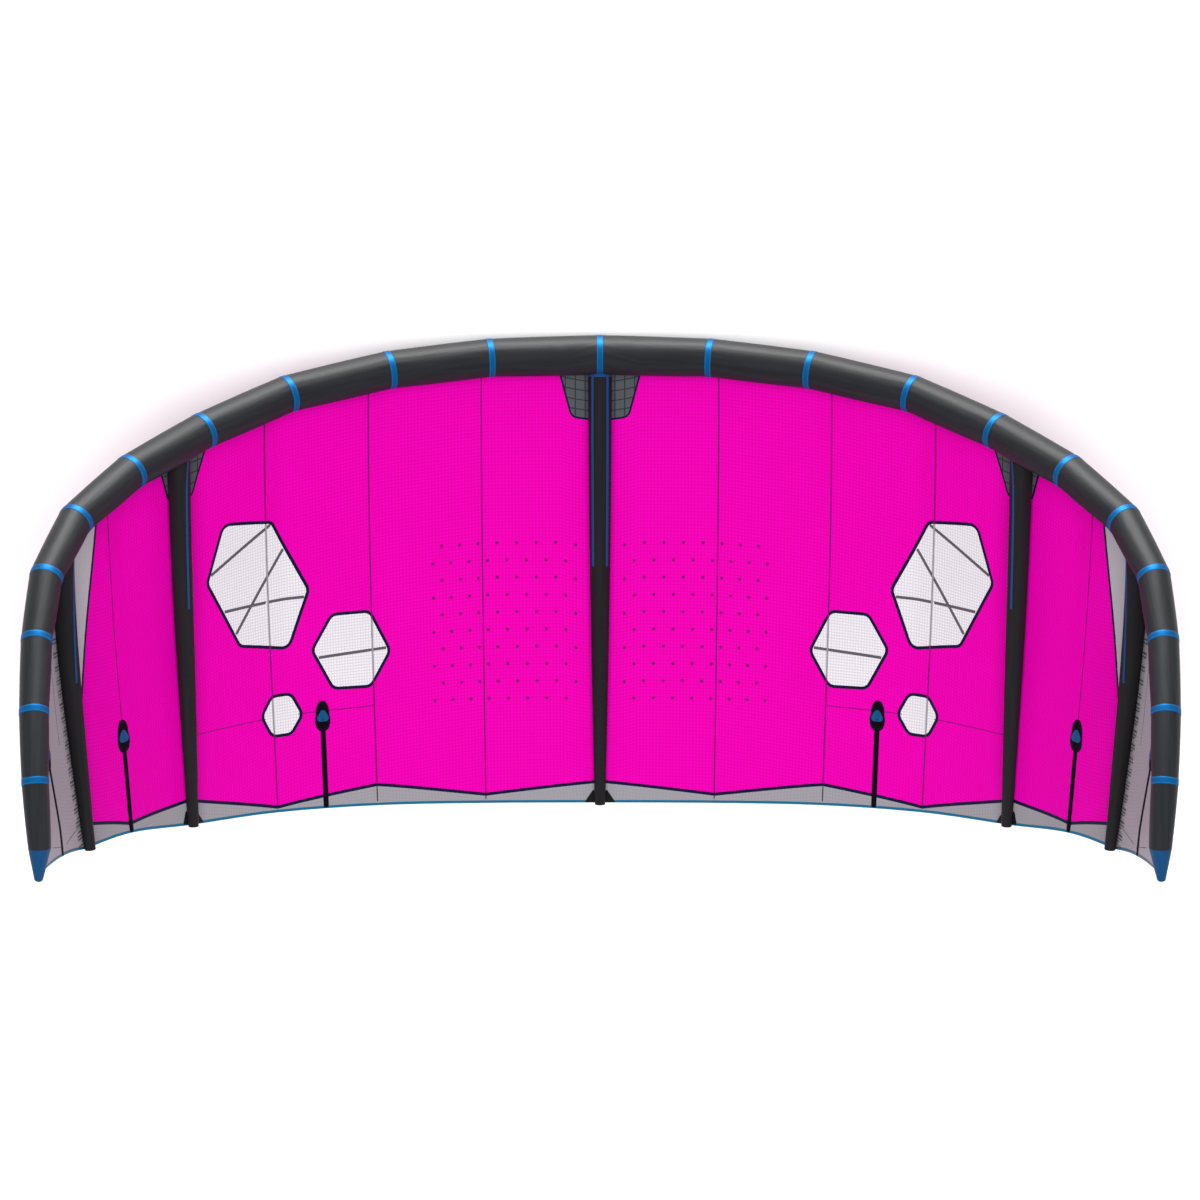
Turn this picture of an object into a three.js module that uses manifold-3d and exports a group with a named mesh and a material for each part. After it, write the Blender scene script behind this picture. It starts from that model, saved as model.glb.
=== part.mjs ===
import * as THREE from 'three';
import { mergeVertices } from 'three/addons/utils/BufferGeometryUtils.js';
import Module from 'manifold-3d';

// A five-strut inflatable kite, pumped up and lying on its back, hollow side and struts up.
// Sizes are millimetres. X runs along the span, +Y towards the leading edge, +Z up from the floor.
// One half is worked out as out, aft and rise from the middle of the leading edge's axis.
// A place along the leading edge is counted in seam bands from the middle, such as 4.3.

const AXIS_HEIGHT = 69;
const BOX_MIDDLE_AFT = 905.25;

// Axis of the leading edge at each seam band, and the tube's diameter there.
const LEADING_EDGE = [
  { band: 0, out: 0, aft: 0, rise: 0, across: 162 },
  { band: 1, out: 450, aft: 9, rise: 39, across: 156 },
  { band: 2, out: 856, aft: 50, rise: 144, across: 153 },
  { band: 3, out: 1248, aft: 131, rise: 328, across: 149 },
  { band: 4, out: 1558, aft: 255, rise: 572, across: 145 },
  { band: 5, out: 1801, aft: 385, rise: 848, across: 139 },
  { band: 6, out: 1971, aft: 536, rise: 1110, across: 131 },
  { band: 7, out: 2046, aft: 717, rise: 1341, across: 121 },
  { band: 8, out: 2055, aft: 925, rise: 1518, across: 113 },
  { band: 9, out: 2040, aft: 1160, rise: 1689, across: 106 },
  { band: 10, out: 2020, aft: 1389, rise: 1810, across: 96 },
  { band: 11, out: 2001, aft: 1618, rise: 1864, across: 82 },
  { band: 12, out: 2014, aft: 1744, rise: 1833, across: 31 },
];
const LAST_BAND = 10;
const CAP_START = 11;
const CAP_END = 12;

// Trailing edge behind each seam and strut, how far the cloth arches between the two edges,
// and where the grey strip along the trailing edge starts, as a share of the chord.
const TRAILING_EDGE = [
  { place: 0, out: 0, aft: 1887, rise: -50, arch: 26, strip: 0.951 },
  { place: 1.06, out: 478, aft: 1880, rise: -4, arch: 32, strip: 0.981 },
  { place: 2.15, out: 920, aft: 1858, rise: 137, arch: 34, strip: 0.952 },
  { place: 3.18, out: 1311, aft: 1839, rise: 347, arch: 28, strip: 0.988 },
  { place: 4.3, out: 1635, aft: 1821, rise: 644, arch: 13, strip: 0.935 },
  { place: 5.23, out: 1814, aft: 1786, rise: 923, arch: 15, strip: 0.974 },
  { place: 6.3, out: 1962, aft: 1789, rise: 1179, arch: 30, strip: 0.92 },
];
const ARCH_SKEW = 0.7;
const BILLOW = 10;
const TIP_ARCH = 14;
const TIP_SCALLOP = 0.011;

// Struts from the middle out: place along the leading edge and the diameters of their two ends. A strut
// keeps its width at first and tapers faster towards its rear.
const STRUTS = [
  { name: 'middle', place: 0, front: 97, rear: 44 },
  { name: 'inner', place: 4.3, front: 88, rear: 42 },
  { name: 'outer', place: 6.3, front: 86, rear: 42 },
];
const STRUT_TAPER = 1.8;
const OUTER_STRUT = 6.3;
const TIP_SEAT_END = 11.7;
const TIP_FRONT = 0.02;
const STRUT_OVERHANG = 6;
const STRUT_FORWARD = -0.02;
const STRUT_NOSE = 0.8;

// The grey panel inboard of the outer strut: the seam beside it, where its own seam starts, the chord
// at which that meets the strut, how much it bends on the way, and where the panel's point ends.
const NARROW_PANEL = { seam: 5.23, front: 5.37, meets: 0.86, bend: 1.18, ends: 0.82 };

// Battens: place along the leading edge, or across the tip, the shares of the chord at which the
// batten starts and its patch lies, and their clearance over the cloth.
const BATTENS = [
  { name: 'inner', place: 2.667, from: 0.83, patch: 0.779, stand: 0.62 },
  { name: 'outer', place: 5.23, from: 0.782, patch: 0.72, stand: 0.62 },
];
const TIP_BATTEN = { name: 'tip', place: 0.62, rear: 0.5, from: 0.7, patch: 0.64, stand: 1.4 };
const BATTEN_WIDTH = 19;
const BATTEN_HEIGHT = 4;
const PATCH_LENGTH = 125;
const PATCH_WIDTH = 63;

const CLOTH = 1.5;
const GAP = 0.3;
const BAND_WIDTH = 26;
const BAND_CLOTH = 1;
const BINDING_WIDTH = 9;
const BINDING_CLEARANCE = 7;
const BINDING_GAP = 0.7;
const BINDING_END = 0.97;
const SEAT_ANGLE = THREE.MathUtils.degToRad(78);
const TIP_SEAT_ANGLE = THREE.MathUtils.degToRad(-40);

const TUBE_SIDES = 20;
const STRUT_SIDES = 12;
const CHORD_ROWS = 12;
const SPAN_STEP = 0.28;
const TIP_STEPS = 6;
const FIRST_BAY_PLACES = [0.12, 0.27, 0.55];
const BATTEN_STEP = 0.14;

const BAND_GAP = 0.5;
const BAND_STAND = BAND_GAP + BAND_CLOTH;
const SEAT_STAND = BAND_STAND + 2 * GAP + CLOTH / 2;
const TUBE_FLOOR = BAND_STAND;
const CLOTH_FLOOR = CLOTH / 2;
const STRUT_STAND = CLOTH / 2 + 2 * GAP;
const STRUT_END_STAND = 4;

// Half the gap at a seam, as a share of the least distance between bands and of the least chord.
const SEAM_HALF = 0.17;
const SEAM_ACROSS = SEAM_HALF / 200;
const SEAM_DOWN = SEAM_HALF / 1100;
const FRONT_EDGE = 1.2 / 1500;

const CHARCOAL = new THREE.MeshStandardMaterial({ color: 0x3c3f43, roughness: 0.6, metalness: 0 });
const BLUE = new THREE.MeshStandardMaterial({ color: 0x1e8fd8, roughness: 0.55, metalness: 0 });
const CAP_BLUE = new THREE.MeshStandardMaterial({ color: 0x17568c, roughness: 0.55, metalness: 0 });
const BLACK = new THREE.MeshStandardMaterial({ color: 0x2b2b2d, roughness: 0.7, metalness: 0 });
const MAGENTA = new THREE.MeshStandardMaterial({ color: 0xf500b8, roughness: 0.5, metalness: 0 });
const GREY = new THREE.MeshStandardMaterial({ color: 0xa39ca8, roughness: 0.5, metalness: 0 });
const TRIM_BLUE = new THREE.MeshStandardMaterial({ color: 0x1180a8, roughness: 0.55, metalness: 0 });

const wasm = await Module();
wasm.setup();

// Vectors in the half frame: x is out, y is aft, z is rise.
const spot = (row) => new THREE.Vector3(row.out, row.aft, row.rise);
const mix = THREE.MathUtils.lerp;
const between = (a, b, share) => a.clone().lerp(b, share);
const toward = (from, to) => to.clone().sub(from).normalize();

// A point of a half, placed in the part's frame, never lower than the floor level it is given.
function inPart(point, side, floor) {
  const height = AXIS_HEIGHT + point.z;
  return new THREE.Vector3(side * point.x, BOX_MIDDLE_AFT - point.y, Math.max(height, floor));
}

// The direction of the tube at a band is half way between those of its two segments.
function bandDirection(band) {
  if (band === 0) return new THREE.Vector3(1, 0, 0);
  const here = spot(LEADING_EDGE[band]);
  const before = toward(spot(LEADING_EDGE[band - 1]), here);
  if (band === CAP_END) return before;
  return before.add(toward(here, spot(LEADING_EDGE[band + 1]))).normalize();
}

// Stations where the tube's rings stand: both edges of each band, and the two ends of the cap.
function tubeStations() {
  const stations = [{ place: 0, point: spot(LEADING_EDGE[0]), along: bandDirection(0), radius: 81 }];
  for (const row of LEADING_EDGE) {
    const along = bandDirection(row.band);
    const radius = row.across / 2;
    const edges = row.band > LAST_BAND ? [0] : row.band === 0 ? [1] : [-1, 1];
    for (const edge of edges) {
      const shift = (edge * BAND_WIDTH) / 2;
      const neighbour = LEADING_EDGE[row.band + (edge || -1)];
      const length = spot(row).distanceTo(spot(neighbour));
      const point = spot(row).addScaledVector(along, shift);
      stations.push({ place: row.band + shift / length, point, along, radius });
    }
  }
  return stations;
}
const STATIONS = tubeStations();

// The tube's axis, direction and radius at any place between its stations.
function tubeAt(place) {
  const next = Math.max(1, STATIONS.findIndex((station) => station.place >= place - 1e-9));
  const [a, b] = [STATIONS[next - 1], STATIONS[next]];
  const share = (place - a.place) / (b.place - a.place);
  return {
    point: between(a.point, b.point, share),
    along: between(a.along, b.along, share).normalize(),
    radius: mix(a.radius, b.radius, share),
  };
}

// One column of the trailing-edge table, or its point, on a smooth curve through the rows.
function smoothTable(place, read) {
  const rows = TRAILING_EDGE;
  const last = rows.length - 2;
  const found = rows.findIndex((row) => row.place > place) - 1;
  const index = found < 0 ? last : found;
  const [a, b] = [rows[index], rows[index + 1]];
  const before = index > 0 ? rows[index - 1] : a;
  const after = index < last ? rows[index + 2] : b;
  const span = b.place - a.place;
  const t = (place - a.place) / span;
  const slopeAt = (p, q) => (read(q) - read(p)) / (q.place - p.place);
  const startSlope = index > 0 ? slopeAt(before, b) : slopeAt(a, b);
  const endSlope = index < last ? slopeAt(a, after) : slopeAt(a, b);
  const start = (2 * t ** 3 - 3 * t ** 2 + 1) * read(a) + (t ** 3 - 2 * t ** 2 + t) * span * startSlope;
  const end = (3 * t ** 2 - 2 * t ** 3) * read(b) + (t ** 3 - t ** 2) * span * endSlope;
  return start + end;
}
function trailingEdge(place) {
  const read = (key) => smoothTable(place, (row) => row[key]);
  return new THREE.Vector3(read('out'), read('aft'), read('rise'));
}

// The strip's front edge is a zigzag of straight lines from seam to seam.
function stripStart(place) {
  const next = Math.max(1, TRAILING_EDGE.findIndex((row) => row.place >= place - 1e-9));
  const [a, b] = [TRAILING_EDGE[next - 1], TRAILING_EDGE[next]];
  return mix(a.strip, b.strip, (place - a.place) / (b.place - a.place));
}

// The way from the tube's axis to the line along which the cloth is sewn to it.
function seatDirection(place) {
  const { point, along, radius } = tubeAt(place);
  const tip = Math.max(0, (place - OUTER_STRUT) / (TIP_SEAT_END - OUTER_STRUT));
  const behind = place <= OUTER_STRUT ? place : OUTER_STRUT;
  const target = between(tubeAt(behind).point, trailingEdge(behind), mix(0.4, 1, tip));
  const aft = target.sub(point);
  aft.addScaledVector(along, -aft.dot(along)).normalize();
  const outward = new THREE.Vector3().crossVectors(aft, along).normalize();
  const room = (AXIS_HEIGHT + point.z - CLOTH_FLOOR) / (radius + SEAT_STAND);
  const angle = Math.min(mix(SEAT_ANGLE, TIP_SEAT_ANGLE, tip), Math.asin(Math.min(1, Math.max(0, room))));
  return aft.multiplyScalar(Math.cos(angle)).addScaledVector(outward, Math.sin(angle));
}
function seatPoint(place) {
  const { point, radius } = tubeAt(place);
  return point.clone().addScaledVector(seatDirection(place), radius + SEAT_STAND);
}

// The middle of the cloth's chord, also past the middle of the kite, for the surface's slope.
function midChord(place) {
  const point = between(seatPoint(Math.abs(place)), trailingEdge(Math.abs(place)), 0.5);
  if (place < 0) point.x = -point.x;
  return point;
}

// The way out of the hollow side through the cloth, square to the chord.
function outwardAt(place) {
  const reach = 0.4;
  const from = place - reach;
  const to = Math.min(place + reach, OUTER_STRUT);
  const chord = toward(seatPoint(place), trailingEdge(place));
  const span = toward(midChord(from), midChord(to));
  return new THREE.Vector3().crossVectors(chord, span).normalize();
}
function billowAt(place) {
  const next = STRUTS.findIndex((strut) => strut.place > place);
  if (next < 1) return 0;
  const [a, b] = [STRUTS[next - 1].place, STRUTS[next].place];
  return BILLOW * Math.sin((Math.PI * (place - a)) / (b - a));
}

// The middle of the cloth between the leading and trailing edges, chord from 0 to 1.
function canopyPoint(place, chord) {
  const arch = smoothTable(place, (row) => row.arch) * Math.sin(Math.PI * Math.max(chord, 0) ** ARCH_SKEW);
  const billow = billowAt(place) * chord;
  const point = between(seatPoint(place), trailingEdge(place), chord);
  return point.addScaledVector(outwardAt(place), arch + billow);
}

// The middle of the cloth outboard of the outer strut: across from the strut to the tube,
// down from the front, where they meet, to the trailing edge.
function tipPoint(across, down) {
  const middle = Math.sin(Math.PI * across);
  const row = down * (1 - TIP_SCALLOP * middle);
  const strut = canopyPoint(OUTER_STRUT, row);
  const tube = seatPoint(mix(OUTER_STRUT, TIP_SEAT_END, row));
  const arch = TIP_ARCH * middle * down;
  return between(strut, tube, across).addScaledVector(outwardAt(OUTER_STRUT), arch);
}

// A geometry from points and triangles, with its faces turned out.
function closedGeometry(points, triangles) {
  let volume = 0;
  for (const [a, b, c] of triangles) volume += points[a].dot(points[b].clone().cross(points[c]));
  const facing = volume < 0 ? triangles.map(([a, b, c]) => [a, c, b]) : triangles;
  const geometry = new THREE.BufferGeometry().setFromPoints(points);
  geometry.setIndex(facing.flat());
  geometry.computeVertexNormals();
  return geometry;
}

// A solid through a row of sections with the same number of points, closed at its ends.
function loft(sections) {
  const count = sections[0].length;
  const points = sections.flat();
  const triangles = [];
  for (let i = 0; i + 1 < sections.length; i += 1) {
    for (let j = 0; j < count; j += 1) {
      const [a, b] = [i * count + j, i * count + ((j + 1) % count)];
      triangles.push([a, b, b + count], [a, b + count, a + count]);
    }
  }
  const flat = sectionTriangles(sections[0]);
  const last = (sections.length - 1) * count;
  for (const [a, b, c] of flat) triangles.push([a, c, b], [last + a, last + b, last + c]);
  return closedGeometry(points, triangles);
}

// Triangles that fill a section, found in the plane of its first corner and its widest turn.
function sectionTriangles(section) {
  const normal = new THREE.Vector3();
  for (let j = 0; j < section.length; j += 1) {
    normal.add(section[j].clone().cross(section[(j + 1) % section.length]));
  }
  normal.normalize();
  const right = toward(section[0], section[1]);
  const up = new THREE.Vector3().crossVectors(normal, right);
  const flat = section.map((point) => new THREE.Vector2(point.dot(right), point.dot(up)));
  return THREE.ShapeUtils.triangulateShape(flat, []);
}

// A thin sheet over a grid of middle points, half its thickness to each side.
function sheet(grid, thickness = CLOTH) {
  const [rows, columns] = [grid.length, grid[0].length];
  const normalAt = (i, j) => {
    const down = toward(grid[Math.max(i - 1, 0)][j], grid[Math.min(i + 1, rows - 1)][j]);
    const across = toward(grid[i][Math.max(j - 1, 0)], grid[i][Math.min(j + 1, columns - 1)]);
    return down.cross(across).normalize();
  };
  const points = [];
  for (const half of [thickness / 2, -thickness / 2]) {
    grid.forEach((row, i) => row.forEach((point, j) => {
      points.push(point.clone().addScaledVector(normalAt(i, j), half));
    }));
  }
  const index = (i, j, layer) => layer * rows * columns + i * columns + j;
  const triangles = [];
  for (let i = 0; i + 1 < rows; i += 1) {
    for (let j = 0; j + 1 < columns; j += 1) {
      const top = [index(i, j, 0), index(i, j + 1, 0), index(i + 1, j + 1, 0), index(i + 1, j, 0)];
      const low = [index(i, j, 1), index(i, j + 1, 1), index(i + 1, j + 1, 1), index(i + 1, j, 1)];
      triangles.push([top[0], top[1], top[2]], [top[0], top[2], top[3]]);
      triangles.push([low[0], low[2], low[1]], [low[0], low[3], low[2]]);
    }
  }
  const rim = [];
  for (let j = 0; j < columns; j += 1) rim.push([0, j]);
  for (let i = 1; i < rows; i += 1) rim.push([i, columns - 1]);
  for (let j = columns - 2; j >= 0; j -= 1) rim.push([rows - 1, j]);
  for (let i = rows - 2; i > 0; i -= 1) rim.push([i, 0]);
  rim.forEach(([i, j], k) => {
    const [m, n] = rim[(k + 1) % rim.length];
    triangles.push([index(i, j, 0), index(i, j, 1), index(m, n, 1)]);
    triangles.push([index(i, j, 0), index(m, n, 1), index(m, n, 0)]);
  });
  return closedGeometry(points, triangles);
}

// Points round the tube at a place, the first of them on the line where the cloth is sewn.
function tubeRing(place, stand, side, floor) {
  const { point, along, radius } = tubeAt(place);
  const seat = seatDirection(place);
  const beside = new THREE.Vector3().crossVectors(along, seat);
  return ringPoints(point, seat, beside, radius + stand, TUBE_SIDES).map((p) => inPart(p, side, floor));
}
function ringPoints(centre, first, second, radius, sides) {
  return Array.from({ length: sides }, (_, k) => {
    const turn = (2 * Math.PI * k) / sides;
    const point = centre.clone().addScaledVector(first, radius * Math.cos(turn));
    return point.addScaledVector(second, radius * Math.sin(turn));
  });
}

// The leading edge from tip to tip, or the wider space round it that the struts end against.
function tubeSolid(stand, floor, end) {
  const places = STATIONS.map((station) => station.place).filter((value) => value > 0 && value < end);
  places.push(...FIRST_BAY_PLACES, end);
  places.sort((a, b) => a - b);
  const left = [...places].reverse().map((value) => tubeRing(value, stand, -1, floor));
  const right = places.map((value) => tubeRing(value, stand, 1, floor));
  return loft([...left, ...right]);
}

// A band over a joint: a short ring just clear of the tube, pressed flat where it meets the floor.
function bandSolid(band, side) {
  const half = BAND_WIDTH / 2 - GAP;
  const { along, radius } = tubeAt(band);
  const centre = spot(LEADING_EDGE[band]);
  const seat = seatDirection(band);
  const beside = new THREE.Vector3().crossVectors(along, seat);
  const corners = [[-half, BAND_GAP], [-half, BAND_STAND], [half, BAND_STAND], [half, BAND_GAP]];
  const loops = corners.map(([shift, stand]) => {
    const middle = centre.clone().addScaledVector(along, shift);
    const floor = stand === BAND_GAP ? BAND_CLOTH : 0;
    const ring = ringPoints(middle, seat, beside, radius + stand, TUBE_SIDES);
    return ring.map((p) => inPart(p, side, floor));
  });
  const points = loops.flat();
  const triangles = [];
  for (let i = 0; i < loops.length; i += 1) {
    const next = (i + 1) % loops.length;
    for (let j = 0; j < TUBE_SIDES; j += 1) {
      const turn = (j + 1) % TUBE_SIDES;
      const [a, b] = [i * TUBE_SIDES + j, i * TUBE_SIDES + turn];
      const [c, d] = [next * TUBE_SIDES + turn, next * TUBE_SIDES + j];
      triangles.push([a, b, c], [a, c, d]);
    }
  }
  return closedGeometry(points, triangles);
}

// Places along the span between two seams: the seams, both edges of each band, and even steps,
// with closer ones beside the battens and at the middle, where the floor presses the tube.
function placesBetween(from, to) {
  const battenMarks = BATTENS.flatMap(({ place }) => [place - BATTEN_STEP, place, place + BATTEN_STEP]);
  const inner = [...STATIONS.map((station) => station.place), ...battenMarks, ...FIRST_BAY_PLACES];
  const marks = [from, ...inner.filter((value) => value > from + 0.01 && value < to - 0.01), to];
  marks.sort((a, b) => a - b);
  const places = [];
  for (let i = 0; i + 1 < marks.length; i += 1) {
    const steps = Math.max(1, Math.round((marks[i + 1] - marks[i]) / SPAN_STEP));
    for (let k = 0; k < steps; k += 1) places.push(mix(marks[i], marks[i + 1], k / steps));
  }
  places.push(marks[marks.length - 1]);
  return places;
}

// The first and last place of a list, drawn in by half a seam, which leaves room for the next piece.
function trimmed(places) {
  const last = places.length - 1;
  return places.map((value, i) => value + (i === 0 ? SEAM_ACROSS : 0) - (i === last ? SEAM_ACROSS : 0));
}
const rowShares = (rows) => Array.from({ length: rows + 1 }, (_, i) => i / rows);

function panelGrid(places, side, chordAt) {
  return rowShares(CHORD_ROWS).map((share) => (
    places.map((value) => inPart(canopyPoint(value, chordAt(value, share)), side, CLOTH_FLOOR))
  ));
}
function panelSolid(from, to, side) {
  const chordAt = (value, share) => mix(FRONT_EDGE, stripStart(value) - SEAM_DOWN, share);
  return sheet(panelGrid(trimmed(placesBetween(from, to)), side, chordAt));
}

// The seam of the narrow grey panel runs from the leading edge back to the outer strut.
function narrowSeam(chord) {
  const share = Math.min(1, chord / NARROW_PANEL.meets) ** NARROW_PANEL.bend;
  return mix(NARROW_PANEL.front, OUTER_STRUT, share);
}
function lastPanelRows() {
  const end = stripStart(OUTER_STRUT) - 3 * SEAM_DOWN;
  return rowShares(CHORD_ROWS).map((share) => mix(FRONT_EDGE, end, share));
}
function lastMagentaSolid(side) {
  const ends = [NARROW_PANEL.seam, OUTER_STRUT].map((value) => stripStart(value) / stripStart(OUTER_STRUT));
  const grid = lastPanelRows().map((chord) => {
    const from = NARROW_PANEL.seam + SEAM_ACROSS;
    const to = narrowSeam(chord) - 2 * SEAM_ACROSS;
    return rowShares(4).map((across) => {
      const reach = chord * mix(ends[0], ends[1], across);
      return inPart(canopyPoint(mix(from, to, across), reach), side, CLOTH_FLOOR);
    });
  });
  return sheet(grid);
}
function narrowPanelSolid(side) {
  const rows = lastPanelRows().filter((chord) => chord < NARROW_PANEL.ends);
  const grid = [...rows, NARROW_PANEL.ends].map((chord) => {
    const from = narrowSeam(chord) + 2 * SEAM_ACROSS;
    return rowShares(3).map((across) => (
      inPart(canopyPoint(mix(from, OUTER_STRUT - SEAM_ACROSS, across), chord), side, CLOTH_FLOOR)
    ));
  });
  return sheet(grid);
}

// Rows of the tip panel: both edges of each band it runs past, and one between each two bands.
function tipRows() {
  const first = mix(OUTER_STRUT, TIP_SEAT_END, TIP_FRONT);
  const places = STATIONS.map((station) => station.place).filter((value) => value > first + 0.1);
  const marks = [first, ...places.filter((value) => value < TIP_SEAT_END), TIP_SEAT_END];
  const between = marks.slice(1).map((value, i) => (value + marks[i]) / 2);
  const wide = between.filter((_, i) => marks[i + 1] - marks[i] > SPAN_STEP);
  const rows = [...marks, ...wide].sort((a, b) => a - b);
  return rows.map((value) => (value - OUTER_STRUT) / (TIP_SEAT_END - OUTER_STRUT));
}
function tipPanelSolid(side) {
  const grid = tipRows().map((down) => {
    const width = tipPoint(0, down).distanceTo(tipPoint(1, down));
    return rowShares(TIP_STEPS).map((share) => {
      const across = mix((3 * SEAM_HALF) / width, 1, share);
      return inPart(tipPoint(across, down), side, CLOTH_FLOOR);
    });
  });
  return sheet(grid);
}
function stripPlaces() {
  const places = new Set();
  for (let i = 0; i + 1 < TRAILING_EDGE.length; i += 1) {
    placesBetween(TRAILING_EDGE[i].place, TRAILING_EDGE[i + 1].place).forEach((value) => places.add(value));
  }
  return trimmed([...places]);
}
function stripSolid(side) {
  const grid = [0, 1].map((share) => (
    stripPlaces().map((value) => {
      const chord = mix(stripStart(value) + SEAM_DOWN, 1, share);
      return inPart(canopyPoint(value, chord), side, CLOTH_FLOOR);
    })
  ));
  return sheet(grid);
}

// The way from a strut to its seam. The outer strut leans half way between the panels it joins.
function strutOutward(strut, chord) {
  const outward = outwardAt(strut.place);
  if (strut.place < OUTER_STRUT) return outward;
  const down = Math.max(chord, 0.1);
  const seat = tipPoint(0, down);
  const back = toward(tipPoint(0, 0), seat);
  const tipNormal = new THREE.Vector3().crossVectors(back, toward(seat, tipPoint(0.1, down)));
  return outward.add(tipNormal.normalize()).normalize();
}

// A strut lies on the hollow side, sewn along the cloth, and ends against the leading edge.
function strutSolid(strut, side, space) {
  const end = stripStart(strut.place);
  const chords = [STRUT_FORWARD, ...rowShares(CHORD_ROWS).map((share) => share * end), 1];
  const chordWay = toward(seatPoint(strut.place), trailingEdge(strut.place));
  const sections = chords.map((chord) => {
    const outward = strutOutward(strut, chord);
    const beside = new THREE.Vector3().crossVectors(chordWay, outward).normalize();
    const full = mix(strut.front, strut.rear, Math.max(chord, 0) ** STRUT_TAPER) / 2;
    const radius = chord < 0 ? STRUT_NOSE * full : full;
    const centre = canopyPoint(strut.place, chord);
    centre.z = Math.max(centre.z, CLOTH_FLOOR - AXIS_HEIGHT);
    centre.addScaledVector(outward, -full - (chord === 1 ? STRUT_END_STAND : STRUT_STAND));
    if (chord === 1) centre.addScaledVector(chordWay, STRUT_OVERHANG);
    const ring = ringPoints(centre, outward, beside, radius, STRUT_SIDES);
    return ring.map((point) => inPart(point, side, 0));
  });
  return cut(loft(sections), space);
}

// A closed mesh as a solid, one solid less another, and a solid as a mesh again.
function solidOf(geometry) {
  const bare = new THREE.BufferGeometry();
  bare.setAttribute('position', geometry.getAttribute('position'));
  bare.setIndex(geometry.getIndex());
  const merged = mergeVertices(bare, 1e-3);
  const vertProperties = merged.getAttribute('position').array;
  return new wasm.Manifold(new wasm.Mesh({
    numProp: 3,
    vertProperties,
    triVerts: new Uint32Array(merged.getIndex().array),
  }));
}
function cut(geometry, space) {
  const mesh = solidOf(geometry).subtract(solidOf(space)).getMesh();
  const result = new THREE.BufferGeometry();
  result.setAttribute('position', new THREE.BufferAttribute(mesh.vertProperties, mesh.numProp));
  result.setIndex(new THREE.BufferAttribute(mesh.triVerts, 1));
  result.computeVertexNormals();
  return result;
}

// A section of a trim piece, from offsets along three ways from a point on the cloth.
function sectionAt(centre, ways, offsets, side) {
  return offsets.map(([beside, up]) => {
    const point = centre.clone().addScaledVector(ways.beside, beside).addScaledVector(ways.up, up);
    return inPart(point, side, 0);
  });
}
function stickSection(stand) {
  const [half, shoulder] = [BATTEN_WIDTH / 2, BATTEN_WIDTH / 2 - 3];
  const [foot, top] = [stand + CLOTH / 2, stand + CLOTH / 2 + BATTEN_HEIGHT];
  return [[-half, foot], [half, foot], [shoulder, top], [-shoulder, top]];
}

// A surface to lay trim on: its point at a share across and down, and the ways beside and up.
function layOn(pointAt, across, down) {
  const small = 0.02;
  const point = pointAt(across, down);
  const downWay = toward(pointAt(across, down - small), point);
  const acrossWay = toward(pointAt(across - small, down), pointAt(across + small, down));
  const up = new THREE.Vector3().crossVectors(acrossWay, downWay).normalize();
  const beside = new THREE.Vector3().crossVectors(downWay, up).normalize();
  return { point, beside, up, downWay };
}
function stickSolid(pointAt, batten, side) {
  const rear = batten.rear ?? batten.place;
  const length = pointAt(batten.place, batten.from).distanceTo(pointAt(rear, 1));
  const end = 1 - (BINDING_WIDTH + BINDING_CLEARANCE) / length;
  const sections = rowShares(3).map((share) => {
    const seat = layOn(pointAt, mix(batten.place, rear, share * end), mix(batten.from, 1, share * end));
    return sectionAt(seat.point, seat, stickSection(batten.stand), side);
  });
  return loft(sections);
}
function patchSolid(pointAt, batten, side) {
  const [across, middle] = [batten.place, batten.patch];
  const small = 0.01;
  const { point } = layOn(pointAt, across, middle);
  const perAcross = pointAt(across + small, middle).distanceTo(point) / small;
  const perDown = pointAt(across, middle + small).distanceTo(point) / small;
  const rows = rowShares(6).map((share) => {
    const along = mix(-0.97, 0.97, share);
    const half = (PATCH_WIDTH / 2) * Math.sqrt(1 - along ** 2);
    const down = middle + (along * PATCH_LENGTH) / 2 / perDown;
    return rowShares(4).map((step) => {
      const spotOn = layOn(pointAt, across + mix(-half, half, step) / perAcross, down);
      return inPart(spotOn.point.addScaledVector(spotOn.up, batten.stand + CLOTH), side, 0);
    });
  });
  return sheet(rows);
}

// The binding: a tape folded round the trailing edge, from one cap to the other.
function bindingSection() {
  const [inner, outer] = [CLOTH / 2 + BINDING_GAP, CLOTH / 2 + BINDING_GAP + BAND_CLOTH];
  const [lip, web] = [BINDING_GAP, BINDING_GAP + BAND_CLOTH];
  return [
    [-BINDING_WIDTH, outer], [web, outer], [web, -outer], [-BINDING_WIDTH, -outer],
    [-BINDING_WIDTH, -inner], [lip, -inner], [lip, inner], [-BINDING_WIDTH, inner],
  ];
}
function bindingSide(side) {
  const lastTipRow = tipRows().at(-2);
  const edge = stripPlaces().map((value) => ({
    point: canopyPoint(value, 1),
    ahead: canopyPoint(value, stripStart(value)),
  }));
  const steps = rowShares(TIP_STEPS).slice(1).map((share) => Math.min(share, BINDING_END));
  const tip = steps.map((across) => ({
    point: tipPoint(across, 1),
    ahead: tipPoint(across, lastTipRow),
  }));
  const all = [...edge, ...tip];
  return all.map(({ point, ahead }, i) => {
    const before = i > 0 ? all[i - 1].point : point.clone().setX(-point.x);
    const span = toward(before, all[Math.min(i + 1, all.length - 1)].point);
    const back = toward(ahead, point);
    const up = new THREE.Vector3().crossVectors(span, back).normalize();
    const rear = new THREE.Vector3().crossVectors(up, span).normalize();
    return sectionAt(point, { beside: rear, up }, bindingSection(), side);
  });
}
function bindingSolid() {
  return loft([...bindingSide(-1).reverse(), ...bindingSide(1)]);
}

function capSolid(side) {
  const from = CAP_START + 0.003;
  return loft([from, CAP_END].map((value) => tubeRing(value, 0, side, 0)));
}

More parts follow.
